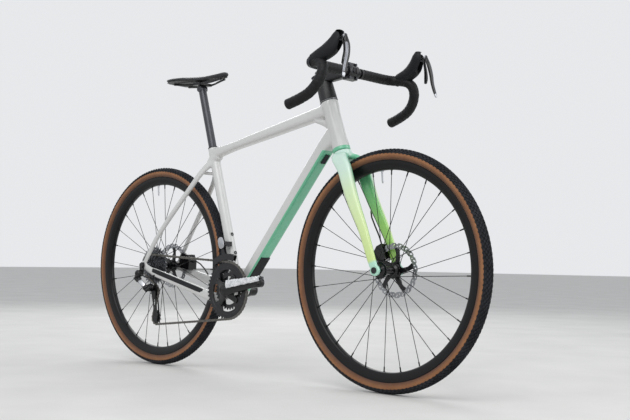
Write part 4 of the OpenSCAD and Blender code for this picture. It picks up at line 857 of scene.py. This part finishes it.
def buildRim(prefix, centre):
    b = Bits()
    half = [(289.2, 4.2), (290.6, 8.2), (293.5, 10.6), (298.5, 12.4), (304.5, 13.6), (310, 14), (316.4, 14),
            (317, 13.4), (317, 12.2), (316.4, 11.7), (308.2, 11.4), (306.2, 6.5)]
    profile = half + [(r, -y) for r, y in half[::-1]]
    b.lathe(profile, centre, (0, 1, 0), wheelSet["steps"], closed=True)
    for k in range(28):
        a = wheelSet["valveAngle"] + (k + 0.5) * 360 / 28
        out = polar(1, a)
        side = 3 if k % 2 else -3
        b.rod(centre + out * 287.8 + Vector((0, side, 0)), centre + out * 290.5 + Vector((0, side, 0)), 3.2, 14,
              chamfer=0.5)
    wheelPiece(b, prefix, "Rim", [rimBlack], 32)


def buildInnerTube(prefix, centre):
    b = Bits()
    b.lathe([(332 + 13.6 * math.cos(2 * math.pi * k / 20), 13.6 * math.sin(2 * math.pi * k / 20)) for k in range(20)],
            centre, (0, 1, 0), 96, closed=True)
    out = polar(1, wheelSet["valveAngle"])
    b.lathe([(2.9, 258), (2.9, 318)], centre, out, 18, 1)
    b.lathe([(3.4, 286.6), (5.4, 286.8), (5.4, 288.6), (3.2, 288.8)], centre, out, 6, 1)
    b.lathe([(1.3, 252), (1.6, 253), (2.2, 254.2), (2.2, 258)], centre, out, 14, 1)
    wheelPiece(b, prefix, "Tube", [tubeRubber, silverAlloy])


def flat(r, degrees):
    p = polar(r, degrees)
    return (p.x, p.z)


# silver track with square notches and slots, carried by five black arms
def buildRotor(prefix, centre, y):
    b = Bits()
    outer = []
    inner = []
    for k in range(20):
        for share, out, inside in ((0, 80, 63), (0.2, 80, 63), (0.4, 80, 63), (0.6, 80, 63), (0.66, 77.2, 65),
                                   (0.8, 77.1, 65.2), (0.94, 77.2, 65)):
            outer.append(flat(out, 18 * (k + share)))
            inner.append(flat(inside, 18 * (k + share) + 5))
    holes = [inner]
    for k in range(20):
        holes.append(barOutline(flat(75.6, 18 * k + 3.2), flat(71.6, 18 * k + 6.4), 1.9, 1.9, 6))
        holes.append(circlePoints(2.1, 12, *flat(69.4, 18 * k + 13)))
    b.plate(outer, holes, y - 0.9, y + 0.9, centre)
    b.plate(circlePoints(22, 48), [circlePoints(14.1, 36)], y - 1.3, y + 1.3, centre, 1)
    for k in range(5):
        row = [flat(16, 72 * k), flat(32, 72 * k + 3), flat(50, 72 * k + 8), flat(66.5, 72 * k + 14)]
        b.plate(armOutline(row, [9, 7.5, 6.5, 8.5]), [], y - 1.15, y + 1.15, centre, 1)
        for lean in (9, 19):
            p = polar(66.2, 72 * k + lean)
            b.rod(centre + p + Vector((0, y - 1.45, 0)), centre + p + Vector((0, y + 1.45, 0)), 2.2, 16, 0, None, 0.2)
    wheelPiece(b, prefix, "Rotor", [polishedSteel, blackAlloy], 30)


for prefix, centre, sidewall, rotorY in (("front", frontHub, frontSidewall, 38), ("rear", rearHub, rearSidewall, 55)):
    buildTyre(prefix, centre, sidewall)
    buildRim(prefix, centre)
    buildInnerTube(prefix, centre)
    buildRotor(prefix, centre, rotorY)
print("wheels done")

# handlebar tape, wound in a helix over the bar
barSet = {"half": 196, "reach": 78, "drop": 124, "flare": 39, "tapeRadius": 15.5, "tapeStart": 42, "wrap": 15.0}
hookShape = [(0.58, 0.03, -0.048), (0.83, 0.13, -0.097), (1, 0.26, -0.2), (1.04, 0.41, -0.347), (0.974, 0.54, -0.51),
             (0.81, 0.67, -0.67), (0.55, 0.77, -0.81), (0.19, 0.87, -0.91), (-0.1, 0.94, -0.97), (-0.37, 1, -1.016)]
topShape = [(0.5, 42, 0), (1, 70, 0), (4, 150, -1), (6.5, 166, -1.2), (12, 181, -1.8), (26, 192.5, -3)]


def barPath(side):
    s = barSet
    points = [barMiddle + Vector(p) for p in topShape]
    points += [barMiddle + Vector((x * s["reach"], s["half"] + y * s["flare"], z * s["drop"])) for x, y, z in hookShape]
    return mirrored(points, side)


def evenly(line, step):
    out = [line[0]]
    travelled = 0.0
    wanted = step
    for a, b in zip(line, line[1:]):
        d = (b - a).length
        while travelled + d >= wanted:
            out.append(a + (b - a) * ((wanted - travelled) / d))
            wanted += step
        travelled += d
    return out


def buildTape():
    s = barSet
    b = Bits()
    for side in (-1, 1):
        line = evenly(smoothRow(barPath(side), 12), 1.5)
        last = len(line)

        def wrapped(i, turn):
            phase = (i * 1.5 / s["wrap"] + (turn if side > 0 else -turn)) % 1.0
            edge = min(phase / 0.1, 1.0)
            return -0.7 + 0.95 * edge - 0.55 * phase + 0.18 * noise.noise(line[i] * 0.09)
        b.skin(tubeRings(line, [s["tapeRadius"]] * last, 1, 30, wrapped))
        end = line[-1]
        t = tangentAt(line, last - 1)
        b.lathe([(15.2, -1.5), (15.4, 0.6), (14.2, 2.6), (9, 3.2), (0.1, 3.4)], end, t, 30, 1)
        start = line[0]
        t0 = tangentAt(line, 0)
        b.lathe([(15.1, 0.2), (15.7, 0.8), (15.7, 8.5), (15.1, 9.2)], start, t0, 30, 1)
    makePiece(b, "wrappedTape", [barTape, blackPlastic], "fork", ["bar_tape"], 45)


buildTape()

# hoods, levers and paddles
hoodSet = {"shape": [(33, 0, 3, 16, 15), (56, 1, 8, 17.5, 19.5), (78, -1, 16, 18, 22), (98, -5, 29, 18, 23.5),
                     (110, -9, 45, 17.5, 20.5), (117, -12, 60, 16, 17.5), (120, -13, 71, 11.5, 12.5)],
           "pin": (125, -9, 50), "lean": (0.951, 0, 0.309),
           "blade": [(19, 0, 4), (29, 2, -20), (34, 7, -48), (34, 14, -75), (36, 22, -98), (38, 28, -113)],
           "paddle": [(11, 0, -1), (16, -1, -20), (19, 0, -40), (18, 3, -60), (15, 5, -73)]}


def pinPlace(side):
    p = hoodSet["pin"]
    return barMiddle + Vector((p[0], side * (barSet["half"] + p[1]), p[2]))


def cutBox(obj, corner, size):
    cutter = Bits()
    cutter.block(Vector(corner) + Vector(size) / 2, size)
    tool = toObject(cutter, "cutter", [hoodRubber])
    cut = obj.modifiers.new("cut", "BOOLEAN")
    cut.operation = "DIFFERENCE"
    cut.solver = "EXACT"
    cut.object = tool
    applyModifiers(obj)
    bpy.data.objects.remove(tool)


def buildHoods():
    for side, word in ((-1, "Right"), (1, "Left")):
        b = Bits()
        path = [barMiddle + Vector((h[0], side * (barSet["half"] + h[1]), h[2])) for h in hoodSet["shape"]]
        rings = loftRings(path, [h[3] for h in hoodSet["shape"]], [h[4] for h in hoodSet["shape"]], 0.85, steps=7,
                          count=40)
        b.skin(domed(rings, 5.5, 5))
        pin = pinPlace(side)
        outline = barOutline((-22, -12), (0, 0), 10, 6.5)
        b.plate(outline, [], pin.y - 12.5, pin.y + 12.5, pin)
        obj = toObject(b, "hood" + word, [hoodRubber])
        fuse(obj, 1.1, 6)
        cutBox(obj, pin + Vector((-14, -9, -60)), (60, 18, 84))
        obj.data.shade_smooth()
        obj.data.set_sharp_from_angle(angle=math.radians(50))
        settle(obj, "fork", [])
        trim = Bits()
        for way in (-1, 1):
            trim.screw(pin + Vector((0, way * 12.3, 0)), (0, way, 0), 3.4, 0.9)
        ring = tubeRings([barMiddle + Vector((24, side * 195.5, -1.5)), barMiddle + Vector((33, side * 196, -4.5))],
                         16.6, 1, 30)
        trim.skin(ring)
        trim.rod(pin + Vector((0, -12, 0)), pin + Vector((0, 12, 0)), 2.4, 16)
        makePiece(trim, "hoodTrim" + word, [darkAlloy], "fork")
    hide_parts("brake_hoods")
    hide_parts("brake_hoods")


def buildLever(side, word):
    u = Vector(hoodSet["lean"]).normalized()
    pin = pinPlace(side)
    b = Bits()
    b.lathe([(3.05, 14.6), (6.2, 14.6), (6.5, 15.0), (6.5, 21.0), (6.2, 21.4), (3.05, 21.4)], pin, u, 28, 0)
    path = [pin + Vector((x, y * side, z)) for x, y, z in hoodSet["blade"]]
    wide = [6, 9, 8.6, 7.6, 6.8, 4.8]
    deep = [5, 4.2, 3.8, 3.3, 3, 2.4]
    rings = domed(loftRings(path, wide, deep, 0.8, steps=8, count=32), 3.2, 4)

    # silver tip, a silver strip along the front edge, grey on the outer cheek as painted light for the lit outer side
    # of the black blade, black elsewhere
    def zone(i, k):
        outward = math.cos(2 * math.pi * k) * side
        if i > 38 or (outward > 0.35 and math.sin(2 * math.pi * k) < -0.1):
            return 0
        return 2 if outward > 0.2 and 10 < i < 38 else 1
    b.skin(rings, pick=zone)
    makePiece(b, "brakeLever" + word, [silverAlloy, glossBlack, litCheekGrey], "brake_lever_" + word.lower(),
              ["brake_lever_" + word.lower()], 45)
    b = Bits()
    b.lathe([(3.05, 8.2), (5.8, 8.2), (6.0, 8.5), (6.0, 13.5), (5.8, 13.8), (3.05, 13.8)], pin, u, 28, 0)
    path = [pin + Vector((x, y * side, z)) for x, y, z in hoodSet["paddle"]]
    b.skin(domed(loftRings(path, [6, 6.6, 8, 9, 6.6], [2.8, 2.3, 2, 1.9, 1.5], 0.8, steps=8, count=28), 2.4, 4))
    makePiece(b, "shiftPaddle" + word, [glossBlack], "shift_paddle_" + word.lower(),
              ["shift_paddle_" + word.lower()], 45)


buildHoods()
buildLever(-1, "Right")
buildLever(1, "Left")
print("cockpit done")

# saddle: foam pad swollen under its skin, with a channel and a stitched side seam
saddleSet = {"length": 272, "width": 145, "nose": -178.96, "low": 995.55, "swell": 20, "cap": 2.2, "channel": 3.2,
             "shape": [(0, 0.62), (0.03, 0.8), (0.09, 0.93), (0.18, 1), (0.3, 0.93), (0.42, 0.68), (0.53, 0.45),
                       (0.66, 0.34), (0.82, 0.29), (0.94, 0.24), (0.985, 0.17), (1, 0.08)]}


def padRings(inset):
    s = saddleSet
    rings = []
    shape = smoothRow([Vector((k, w, 0)) for k, w in s["shape"]], 5)
    for q in shape:
        k = min(max(q.x, 0), 1)
        edge = min(k, 1 - k)
        lift = 4 * (2 * k - 0.9) ** 2
        deep = 10.5 if edge > 0.03 else 7 + 3.5 * edge / 0.03
        x = s["nose"] - (1 - k) * (s["length"] - 2 * inset) - inset
        z = s["low"] + 0.5 + lift
        half = s["width"] / 2 * q.y - inset
        ring = []
        for i in range(44):
            a = 2 * math.pi * i / 44
            c, sn = math.cos(a), math.sin(a)
            y = math.copysign(abs(c) ** 0.75, c) * half
            up = math.copysign(abs(sn) ** 0.8, sn) * (deep - inset)
            if sn < 0:
                up *= 0.75
                y *= 0.93
            ring.append(Vector((x, y, z + up)))
        rings.append(ring)
    return rings


def buildSaddle():
    s = saddleSet
    b = Bits()
    b.skin(padRings(1.2))
    pad = toObject(b, "saddlePad", [saddleSkin])
    remesh = pad.modifiers.new("fuse", "REMESH")
    remesh.mode = "VOXEL"
    remesh.voxel_size = 0.0045
    remesh.use_smooth_shade = True
    applyModifiers(pad)
    start = [v.co.copy() for v in pad.data.vertices]
    cloth = pad.modifiers.new("swell", "CLOTH")
    cloth.settings.use_pressure = True
    cloth.settings.uniform_pressure_force = 4
    cloth.settings.effector_weights.gravity = 0
    cloth.settings.tension_stiffness = 30
    cloth.settings.compression_stiffness = 30
    for frameNumber in range(1, s["swell"] + 1):
        scene.frame_set(frameNumber)
    deps = bpy.context.evaluated_depsgraph_get()
    swollen = [v.co.copy() for v in pad.evaluated_get(deps).data.vertices]
    pad.modifiers.clear()
    for v, before, after in zip(pad.data.vertices, start, swollen):
        move = after - before
        if move.length > s["cap"] * mm:
            move *= s["cap"] * mm / move.length
        if before.z < (s["low"] - 3) * mm:
            move.z = 0
        v.co = before + move
    scene.frame_set(1)
    smooth = pad.modifiers.new("soften", "SMOOTH")
    smooth.factor = 0.5
    smooth.iterations = 3
    finer = pad.modifiers.new("finer", "SUBSURF")
    finer.levels = 2
    finer.render_levels = 2
    applyModifiers(pad)
    nose = s["nose"]
    # relief channel along the middle and a sewn groove round the side
    for v in pad.data.vertices:
        k = 1 - (nose - v.co.x / mm) / s["length"]
        y = v.co.y / mm
        z = v.co.z / mm
        if 0.12 < k < 0.86 and z > s["low"]:
            along = math.sin(math.pi * (k - 0.12) / 0.74) ** 0.5
            v.co.z -= s["channel"] * mm * along * math.exp(-(y / 6.5) ** 2)
        lift = 4 * (2 * k - 0.9) ** 2
        groove = z - (s["low"] + 0.5 + lift + 1.0)
        if abs(groove) < 2.5:
            v.co.y -= math.copysign(0.5 * mm * math.exp(-(groove / 0.9) ** 2), y)
    pad.data.shade_smooth()
    settle(pad, "seatpost", ["saddle_pad"])


buildSaddle()
print("saddle done")

# drive: chain plates, crank arms
driveSet = {"pitch": 12.7, "crank": 172.5}


def pitchRadius(teeth):
    return driveSet["pitch"] / (2 * math.sin(math.pi / teeth))


def chainPlaces():
    pitch = driveSet["pitch"]
    jockeyA = rearHub + Vector((34, 0, -91))
    jockeyB = rearHub + Vector((48, 0, -183))
    wheels = [(bottomBracket, 46, 1), (rearHub, 19, 1), (jockeyA, 11, -1), (jockeyB, 11, 1)]

    def runAngle(i):
        a, b = wheels[i % 4], wheels[(i + 1) % 4]
        d = b[0] - a[0]
        return math.atan2(d.z, d.x) + math.asin((a[2] * pitchRadius(a[1]) - b[2] * pitchRadius(b[1])) / d.length)

    def runLength(i):
        d = wheels[(i + 1) % 4][0] - wheels[i % 4][0]
        return d.length * math.cos(runAngle(i) - math.atan2(d.z, d.x))

    def wheelPoint(i, angle):
        return wheels[i % 4][0] + polar(pitchRadius(wheels[i % 4][1]), math.degrees(angle))

    def wrapStart(i):
        return runAngle(i + 3) - math.pi / 2 * wheels[i % 4][2]

    def wrapLinks(i):
        turn = wheels[i % 4][2] * (runAngle(i) - runAngle(i + 3))
        return (turn % (2 * math.pi)) / (2 * math.pi / wheels[i % 4][1])
    marks = [runLength(0) / pitch]
    for i in (1, 2, 3):
        marks.append(marks[-1] + wrapLinks(i))
        marks.append(marks[-1] + runLength(i) / pitch)
    total = 2 * round((marks[-1] + wrapLinks(0)) / 2)
    marks[-1] = total - wrapLinks(0)
    slack = runLength(3) / (marks[-1] - marks[-2])
    places = []
    for u in range(total):
        if u >= marks[-1]:
            places.append(wheelPoint(0, wrapStart(0) + (u - marks[-1]) * 2 * math.pi / wheels[0][1]))
            continue
        stretch = next(j for j, m in enumerate(marks) if u < m)
        i = (stretch + 1) // 2
        before = marks[stretch - 1] if stretch else 0
        if stretch % 2 == 0:
            start = wheelPoint(i, runAngle(i) - math.pi / 2 * wheels[i][2])
            step = slack if stretch == 6 else pitch
            places.append(start + polar((u - before) * step, math.degrees(runAngle(i))))
        else:
            places.append(wheelPoint(i, wrapStart(i) + wheels[i][2] * (u - before) * 2 * math.pi / wheels[i][1]))
    return places


def linkOutline(a, b):
    d = b - a
    length = math.hypot(d.x, d.z)
    base = math.atan2(d.z, d.x)
    out = []
    for x, y in ((-3.6, -1.6), (-2.2, -3.4), (0, -4.0), (2.6, -3.4), (length / 2, -2.7), (length - 2.6, -3.4),
                 (length, -4.0), (length + 2.2, -3.4), (length + 3.6, -1.6), (length + 3.6, 1.6),
                 (length + 2.2, 3.4), (length, 4.0), (length - 2.6, 3.4), (length / 2, 2.7), (2.6, 3.4), (0, 4.0),
                 (-2.2, 3.4), (-3.6, 1.6)):
        out.append((a.x + x * math.cos(base) - y * math.sin(base), a.z + x * math.sin(base) + y * math.cos(base)))
    return out


def buildChain():
    b = Bits()
    places = chainPlaces()
    n = len(places)
    for k, p in enumerate(places):
        q = places[(k + 1) % n]
        near, far = (1.25, 1.95) if k % 2 else (2.0, 2.7)
        outline = linkOutline(p, q)
        for side in (-1, 1):
            b.plate(outline, [], chainY + side * near, chainY + side * far)
        b.rod(p + Vector((0, chainY - 1.3, 0)), p + Vector((0, chainY + 1.3, 0)), 3.8, 14)
        b.rod(p + Vector((0, chainY - 2.95, 0)), p + Vector((0, chainY + 2.95, 0)), 1.6, 10)
    makePiece(b, "chainLinks", [chainSteel], "frame", ["chain"], 30)
    print("chain links:", n)


buildChain()


def crankArm(b, way):
    # way -1 is the right side; the left arm points backwards
    out = polar(1, 10) * (1 if way < 0 else -1)
    stations = [(-15, 64, 14, 5.5), (-8, 64, 18, 7), (0, 64, 19.5, 7.6), (18, 64.4, 18.5, 7.4), (50, 65, 15, 6.6),
                (100, 65.6, 12.6, 6.0), (140, 66.4, 12.4, 6.0), (161, 67.2, 13.4, 6.4)]
    path = [bottomBracket + out * s + Vector((0, way * y, 0)) for s, y, w, t in stations]
    b.skin(domed(loftRings(path, [q[3] for q in stations], [q[2] for q in stations], 0.62, steps=7, count=36), 2, 3))
    eye = bottomBracket + out * driveSet["crank"]
    b.lathe([(7.1, 61), (13.8, 61), (15, 62.2), (15, 73.6), (13.8, 75), (7.1, 75)], eye, (0, way, 0), 44, closed=True)
    hub = bottomBracket
    b.lathe([(12.2, 45.4 if way > 0 else 51), (19, 45.8 if way > 0 else 51.2), (20, 57), (19.4, 69), (17, 71.4),
             (13, 71.8), (12.2, 71)], hub, (0, way, 0), 48, closed=True)


def buildCranks():
    b = Bits()
    crankArm(b, -1)
    for k in range(4):
        a = 10 + 45 + 90 * k
        out = polar(1, a)
        path = [bottomBracket + out * r + Vector((0, y, 0)) for r, y in ((10, -56), (24, -55.6), (40, -54), (57, -53))]
        b.skin(domed(loftRings(path, [4.6, 3.6, 2.2, 1.9], [17, 14, 10.5, 9], 0.6, steps=6, count=28), 4, 4))
        bolt = bottomBracket + out * 55 + Vector((0, -54.8, 0))
        b.screw(bolt, (0, -1, 0), 4.6, 1.0, 1)
    b.rod(bottomBracket + Vector((0, -66, 0)), bottomBracket + Vector((0, 66, 0)), 12, 32)
    b.lathe([(0.1, 69.6), (9, 69.8), (11.6, 70.6), (12.2, 69)], bottomBracket, (0, -1, 0), 36, 1)
    makePiece(b, "crankArmRight", [glossBlack, blackAlloy], "crank", ["crank_right"], 40)
    b = Bits()
    crankArm(b, 1)
    b.lathe([(0.1, 69.6), (9, 69.8), (11.6, 70.6), (12.2, 69)], bottomBracket, (0, 1, 0), 36, 1)
    side = polar(1, 10) * -1
    for s in (22, 32):
        place = bottomBracket + side * s + Vector((0, 64, 0))
        up = polar(1, 100)
        b.screw(place + up * -17.6, -up, 3.2, 1.6, 1)
    makePiece(b, "crankArmLeft", [glossBlack, blackAlloy], "crank", ["crank_left"], 40)


buildCranks()

# toothed rings with a raised band outside and four tabs that reach the arms
ringSet = {"large": (46, -50, 2.0, 68, 47.5, 55), "small": (30, -43, 2.0, 46, 34, 40), "armsAt": 55}


def ringOutline(teeth, seat):
    r = pitchRadius(teeth)
    steps = ((-0.5, -3.9), (-0.38, -3.4), (-0.27, -1.4), (-0.17, 0.9), (-0.08, 2.9), (0.08, 2.9), (0.17, 0.9),
             (0.27, -1.4), (0.38, -3.4))
    return [flat(r + rise, seat + 360 / teeth * (k + 0.5 + share)) for k in range(teeth) for share, rise in steps]


def tabbedInside(r, low):
    out = []
    for k in range(180):
        away = abs((2 * k - ringSet["armsAt"] + 45) % 90 - 45)
        dip = min(max((22 - away) / 12, 0), 1)
        out.append(flat(r - (r - low) * dip * dip * (3 - 2 * dip), 2 * k))
    return out


def buildRings():
    b = Bits()
    first = chainPlaces()[-1] - bottomBracket
    seat = math.degrees(math.atan2(first.z, first.x))
    for teeth, y, thick, inside, low, boltAt in (ringSet["large"], ringSet["small"]):
        b.plate(ringOutline(teeth, seat), [tabbedInside(inside, low)], y - thick / 2, y + thick / 2, bottomBracket)
        for k in range(4):
            b.screw(bottomBracket + polar(boltAt, ringSet["armsAt"] + 90 * k) + Vector((0, y - thick / 2, 0)),
                    (0, -1, 0), 4.4, 0.7, 1)
    b.lathe([(76.5, -51), (77.3, -51.7), (85.6, -51.7), (86.6, -51)], bottomBracket, (0, 1, 0), 120, closed=True)
    makePiece(b, "toothedRings", [blackAlloy, darkAlloy], "crank", ["chainrings"], 30)


buildRings()

# bubble film folded over the upper edge of the right arm
filmSet = {"start": 24, "end": 180, "rise": (15, 11), "wide": (15, 9.5), "thick": 12.5, "wall": 0.8}


def buildSleeve():
    s = filmSet
    out = polar(1, 10)
    up = polar(1, 100)
    rings = []
    steps = 110
    turns = 56
    for i in range(steps + 1):
        k = i / steps
        along = s["start"] + (s["end"] - s["start"]) * k
        rise = s["rise"][0] + (s["rise"][1] - s["rise"][0]) * k
        centre = bottomBracket + out * along + up * rise + Vector((0, -66, 0))
        skins = ([], [])
        for j in range(turns + 1):
            a = math.radians(-128 + 256 * j / turns)
            c, sn = math.cos(a), math.sin(a)
            point = Vector((k * 8, c * 1.5, sn * 1.5))
            crumple = 1 + 0.12 * noise.noise(point) + 0.07 * noise.noise(point * 2.7)
            wide = (s["wide"][0] + (s["wide"][1] - s["wide"][0]) * k) * crumple
            thick = s["thick"] * crumple
            row = round(along / 7.0)
            bubble = max(0.0, math.cos(math.pi * along / 3.5)) * max(0.0, math.cos(a * 9 + row * math.pi)) * 1.5
            for skin, inset in zip(skins, (0, s["wall"])):
                x = math.copysign(abs(c) ** 0.7, c) * (wide + bubble - inset)
                y = math.copysign(abs(sn) ** 0.7, sn) * (thick + bubble - inset)
                skin.append(centre + up * x + Vector((0, -y, 0)))
        rings.append(skins[0] + skins[1][::-1])
    b = Bits()
    b.skin(rings)
    makePiece(b, "crankSleeve", [bubbleFilm], "crank", [], 70)


buildSleeve()

# rear derailleur shells, cage plates and the front derailleur's outer link
rearSet = {"hanger": (-4, -29), "linkFoot": (-6, -92.2, -50), "linkWay": (34, 6, -27), "lean": (-0.72, 1, -0.6),
           "pivot": (27, -78), "upper": (34, -91), "lower": (48, -183), "outerPlate": -56.6, "innerPlate": -44.9}


def buildRearDerailleur():
    s = rearSet
    foot = rearHub + Vector(s["linkFoot"])
    way = Vector(s["linkWay"])
    along = way.normalized()
    axis = way.cross(Vector(s["lean"])).normalized()
    hanger = rearHub + Vector((s["hanger"][0], 0, s["hanger"][1]))
    b = Bits()
    b.lathe([(10.2, -85), (12.6, -85.6), (13.4, -92), (12.8, -99), (10, -102.6), (5.4, -103.6), (5, -102), (0.1, -102)],
            hanger, (0, 1, 0), 40)
    web = foot - along * 12.5
    b.skin(domed(loftRings([hanger + Vector((-3, -93, -5)), hanger + Vector((-8, -94, -9)), web],
                           [9, 8.5, 7], [9, 8, 5.6], 0.8, count=28), 3, 3))
    makePiece(b, "fixedKnuckleShell", [glossBlack], "frame")
    b = Bits()
    outward = axis.cross(along)
    if outward.y > 0:
        outward = -outward
    middle = foot + way / 2
    b.skin([ringAt(middle + outward * d, along, axis, 15 - c, 7.6 - c, 0.6, 36) for d, c in
            ((2.4, 0.3), (3.4, 0), (4.0, 0.3), (4.3, 1.2))])
    makePiece(b, "linkFace", [silverAlloy], "derailleur_link")
    pivot = rearHub + Vector((s["pivot"][0], 0, s["pivot"][1]))
    b = Bits()
    b.lathe([(11.1, -57.6), (13, -58.4), (13.8, -64), (13.2, -71), (10.4, -74.8), (5.6, -75.8), (5.2, -74),
             (0.1, -74)], pivot, (0, 1, 0), 40)
    knee = foot + way + along * 12.5
    b.skin(domed(loftRings([pivot + Vector((3, -66, -1)), pivot + Vector((6, -76, -3)), knee], [10, 9, 6.6],
                           [9, 8, 5.6], 0.8, count=28), 3, 3))
    makePiece(b, "movingKnuckleShell", [glossBlack], "derailleur_knuckle")
    b = Bits()
    row = [(pivot.x - rearHub.x - 5, pivot.z - rearHub.z + 9), s["pivot"], s["upper"], (37, -112), (43, -140),
           (46, -162), s["lower"], (50, -195)]
    outline = armOutline(row, [4, 11, 12.4, 9.6, 8.4, 9.6, 12.6, 6], 5)
    slot = barOutline((40.5, -122), (44.5, -154), 3.2, 3.2)
    b.plate(outline, [slot], s["outerPlate"] - 0.2, s["outerPlate"] + 1.5, rearHub)
    b.plate(outline, [slot], s["innerPlate"], s["innerPlate"] + 1.5, rearHub)
    for x, z in (s["upper"], s["lower"]):
        place = rearHub + Vector((x, 0, z))
        b.rod(place + Vector((0, s["outerPlate"], 0)), place + Vector((0, s["innerPlate"] + 1, 0)), 2.5, 18, 1)
        b.screw(place + Vector((0, s["outerPlate"] - 0.2, 0)), (0, -1, 0), 4.4, 1.5, 1)
    b.rod(pivot + Vector((0, -68.6, 0)), pivot + Vector((0, -55.5, 0)), 4, 24)
    makePiece(b, "cagePlates", [glossBlack, darkAlloy], "derailleur_cage", ["derailleur_cage"], 30)


frontSet = {"pivot": (-38, -41, 152), "plate": (3, -8.6, 3), "halfWide": 13, "halfTall": 19}


def buildFrontPlate():
    s = frontSet
    middle = bottomBracket + Vector(s["pivot"]) + Vector(s["plate"])
    b = Bits()
    b.skin([ringAt(middle + Vector((0, -d, 0)), Vector((1, 0, 0.25)).normalized(), Vector((-0.25, 0, 1)).normalized(),
                   s["halfWide"] - c, s["halfTall"] - c, 0.7, 40) for d, c in ((0, 0.4), (0.5, 0), (1.8, 0), (2.3, 1))])
    makePiece(b, "outerLink", [silverAlloy], "front_derailleur_cage")


buildRearDerailleur()
buildFrontPlate()

# thin pale ring at the foot of the headset cover
footRing = Bits()
footRing.lathe([(26.4, 1.1), (28.1, 1.3), (28.3, 2.2), (27.2, 2.6), (26.4, 2.4)], steerPoint(0, 0, headTop), steerUp, 56,
               closed=True)
makePiece(footRing, "coverFoot", [silverAlloy], "fork")
print("drive done")


# finishes of the parts kept from the frame model
def dress(names, material, edge=0.0):
    for name in names:
        part = nodes[name]
        for slot in part.material_slots:
            slot.material = material
        if edge:
            weld = part.modifiers.new("weld", "WELD")
            weld.merge_threshold = 0.00001
            bevel = part.modifiers.new("edge", "BEVEL")
            bevel.width = edge * mm
            bevel.segments = 2
            bevel.limit_method = "ANGLE"
            bevel.angle_limit = math.radians(40)
            bevel.harden_normals = True


dress(["frame_guards"], guardRubber)
dress(["bottle_bosses", "seat_clamp", "derailleur_hanger"], blackAlloy)
dress(["frame_bearings", "rear_axle", "front_axle"], blackAlloy)
dress(["rear_caliper", "front_caliper"], glossBlack, 1.4)
dress(["frame_cables", "front_hose"], hoseSkin)
dress(["front_derailleur", "derailleur_link"], blackAlloy, 0.6)
dress(["derailleur_mount", "derailleur_knuckle"], glossBlack, 0.8)
dress(["front_derailleur_cage"], blackAlloy)
dress(["jockey_upper", "jockey_lower"], blackPlastic)
dress(["seatpost"], postFinish)
dress(["saddle_clamp", "saddle_rails"], blackAlloy, 0.5)
dress(["saddle_base"], saddleShell)
dress(["headset_cover"], blackPlastic)
dress(["stem", "stem_faceplate"], blackAlloy, 1.0)
dress(["cockpit_bolts"], darkAlloy)
dress(["handlebar"], blackAlloy)
dress(["lever_block_right", "lever_block_left"], darkAlloy)
dress(["front_spokes", "rear_spokes"], spokeBlack)
dress(["front_hub", "rear_hub"], glossBlack)
dress(["front_pad_outer", "front_pad_inner", "rear_pad_outer", "rear_pad_inner"], padCompound)
dress(["cassette"], cogSteel)
print("finishes given")
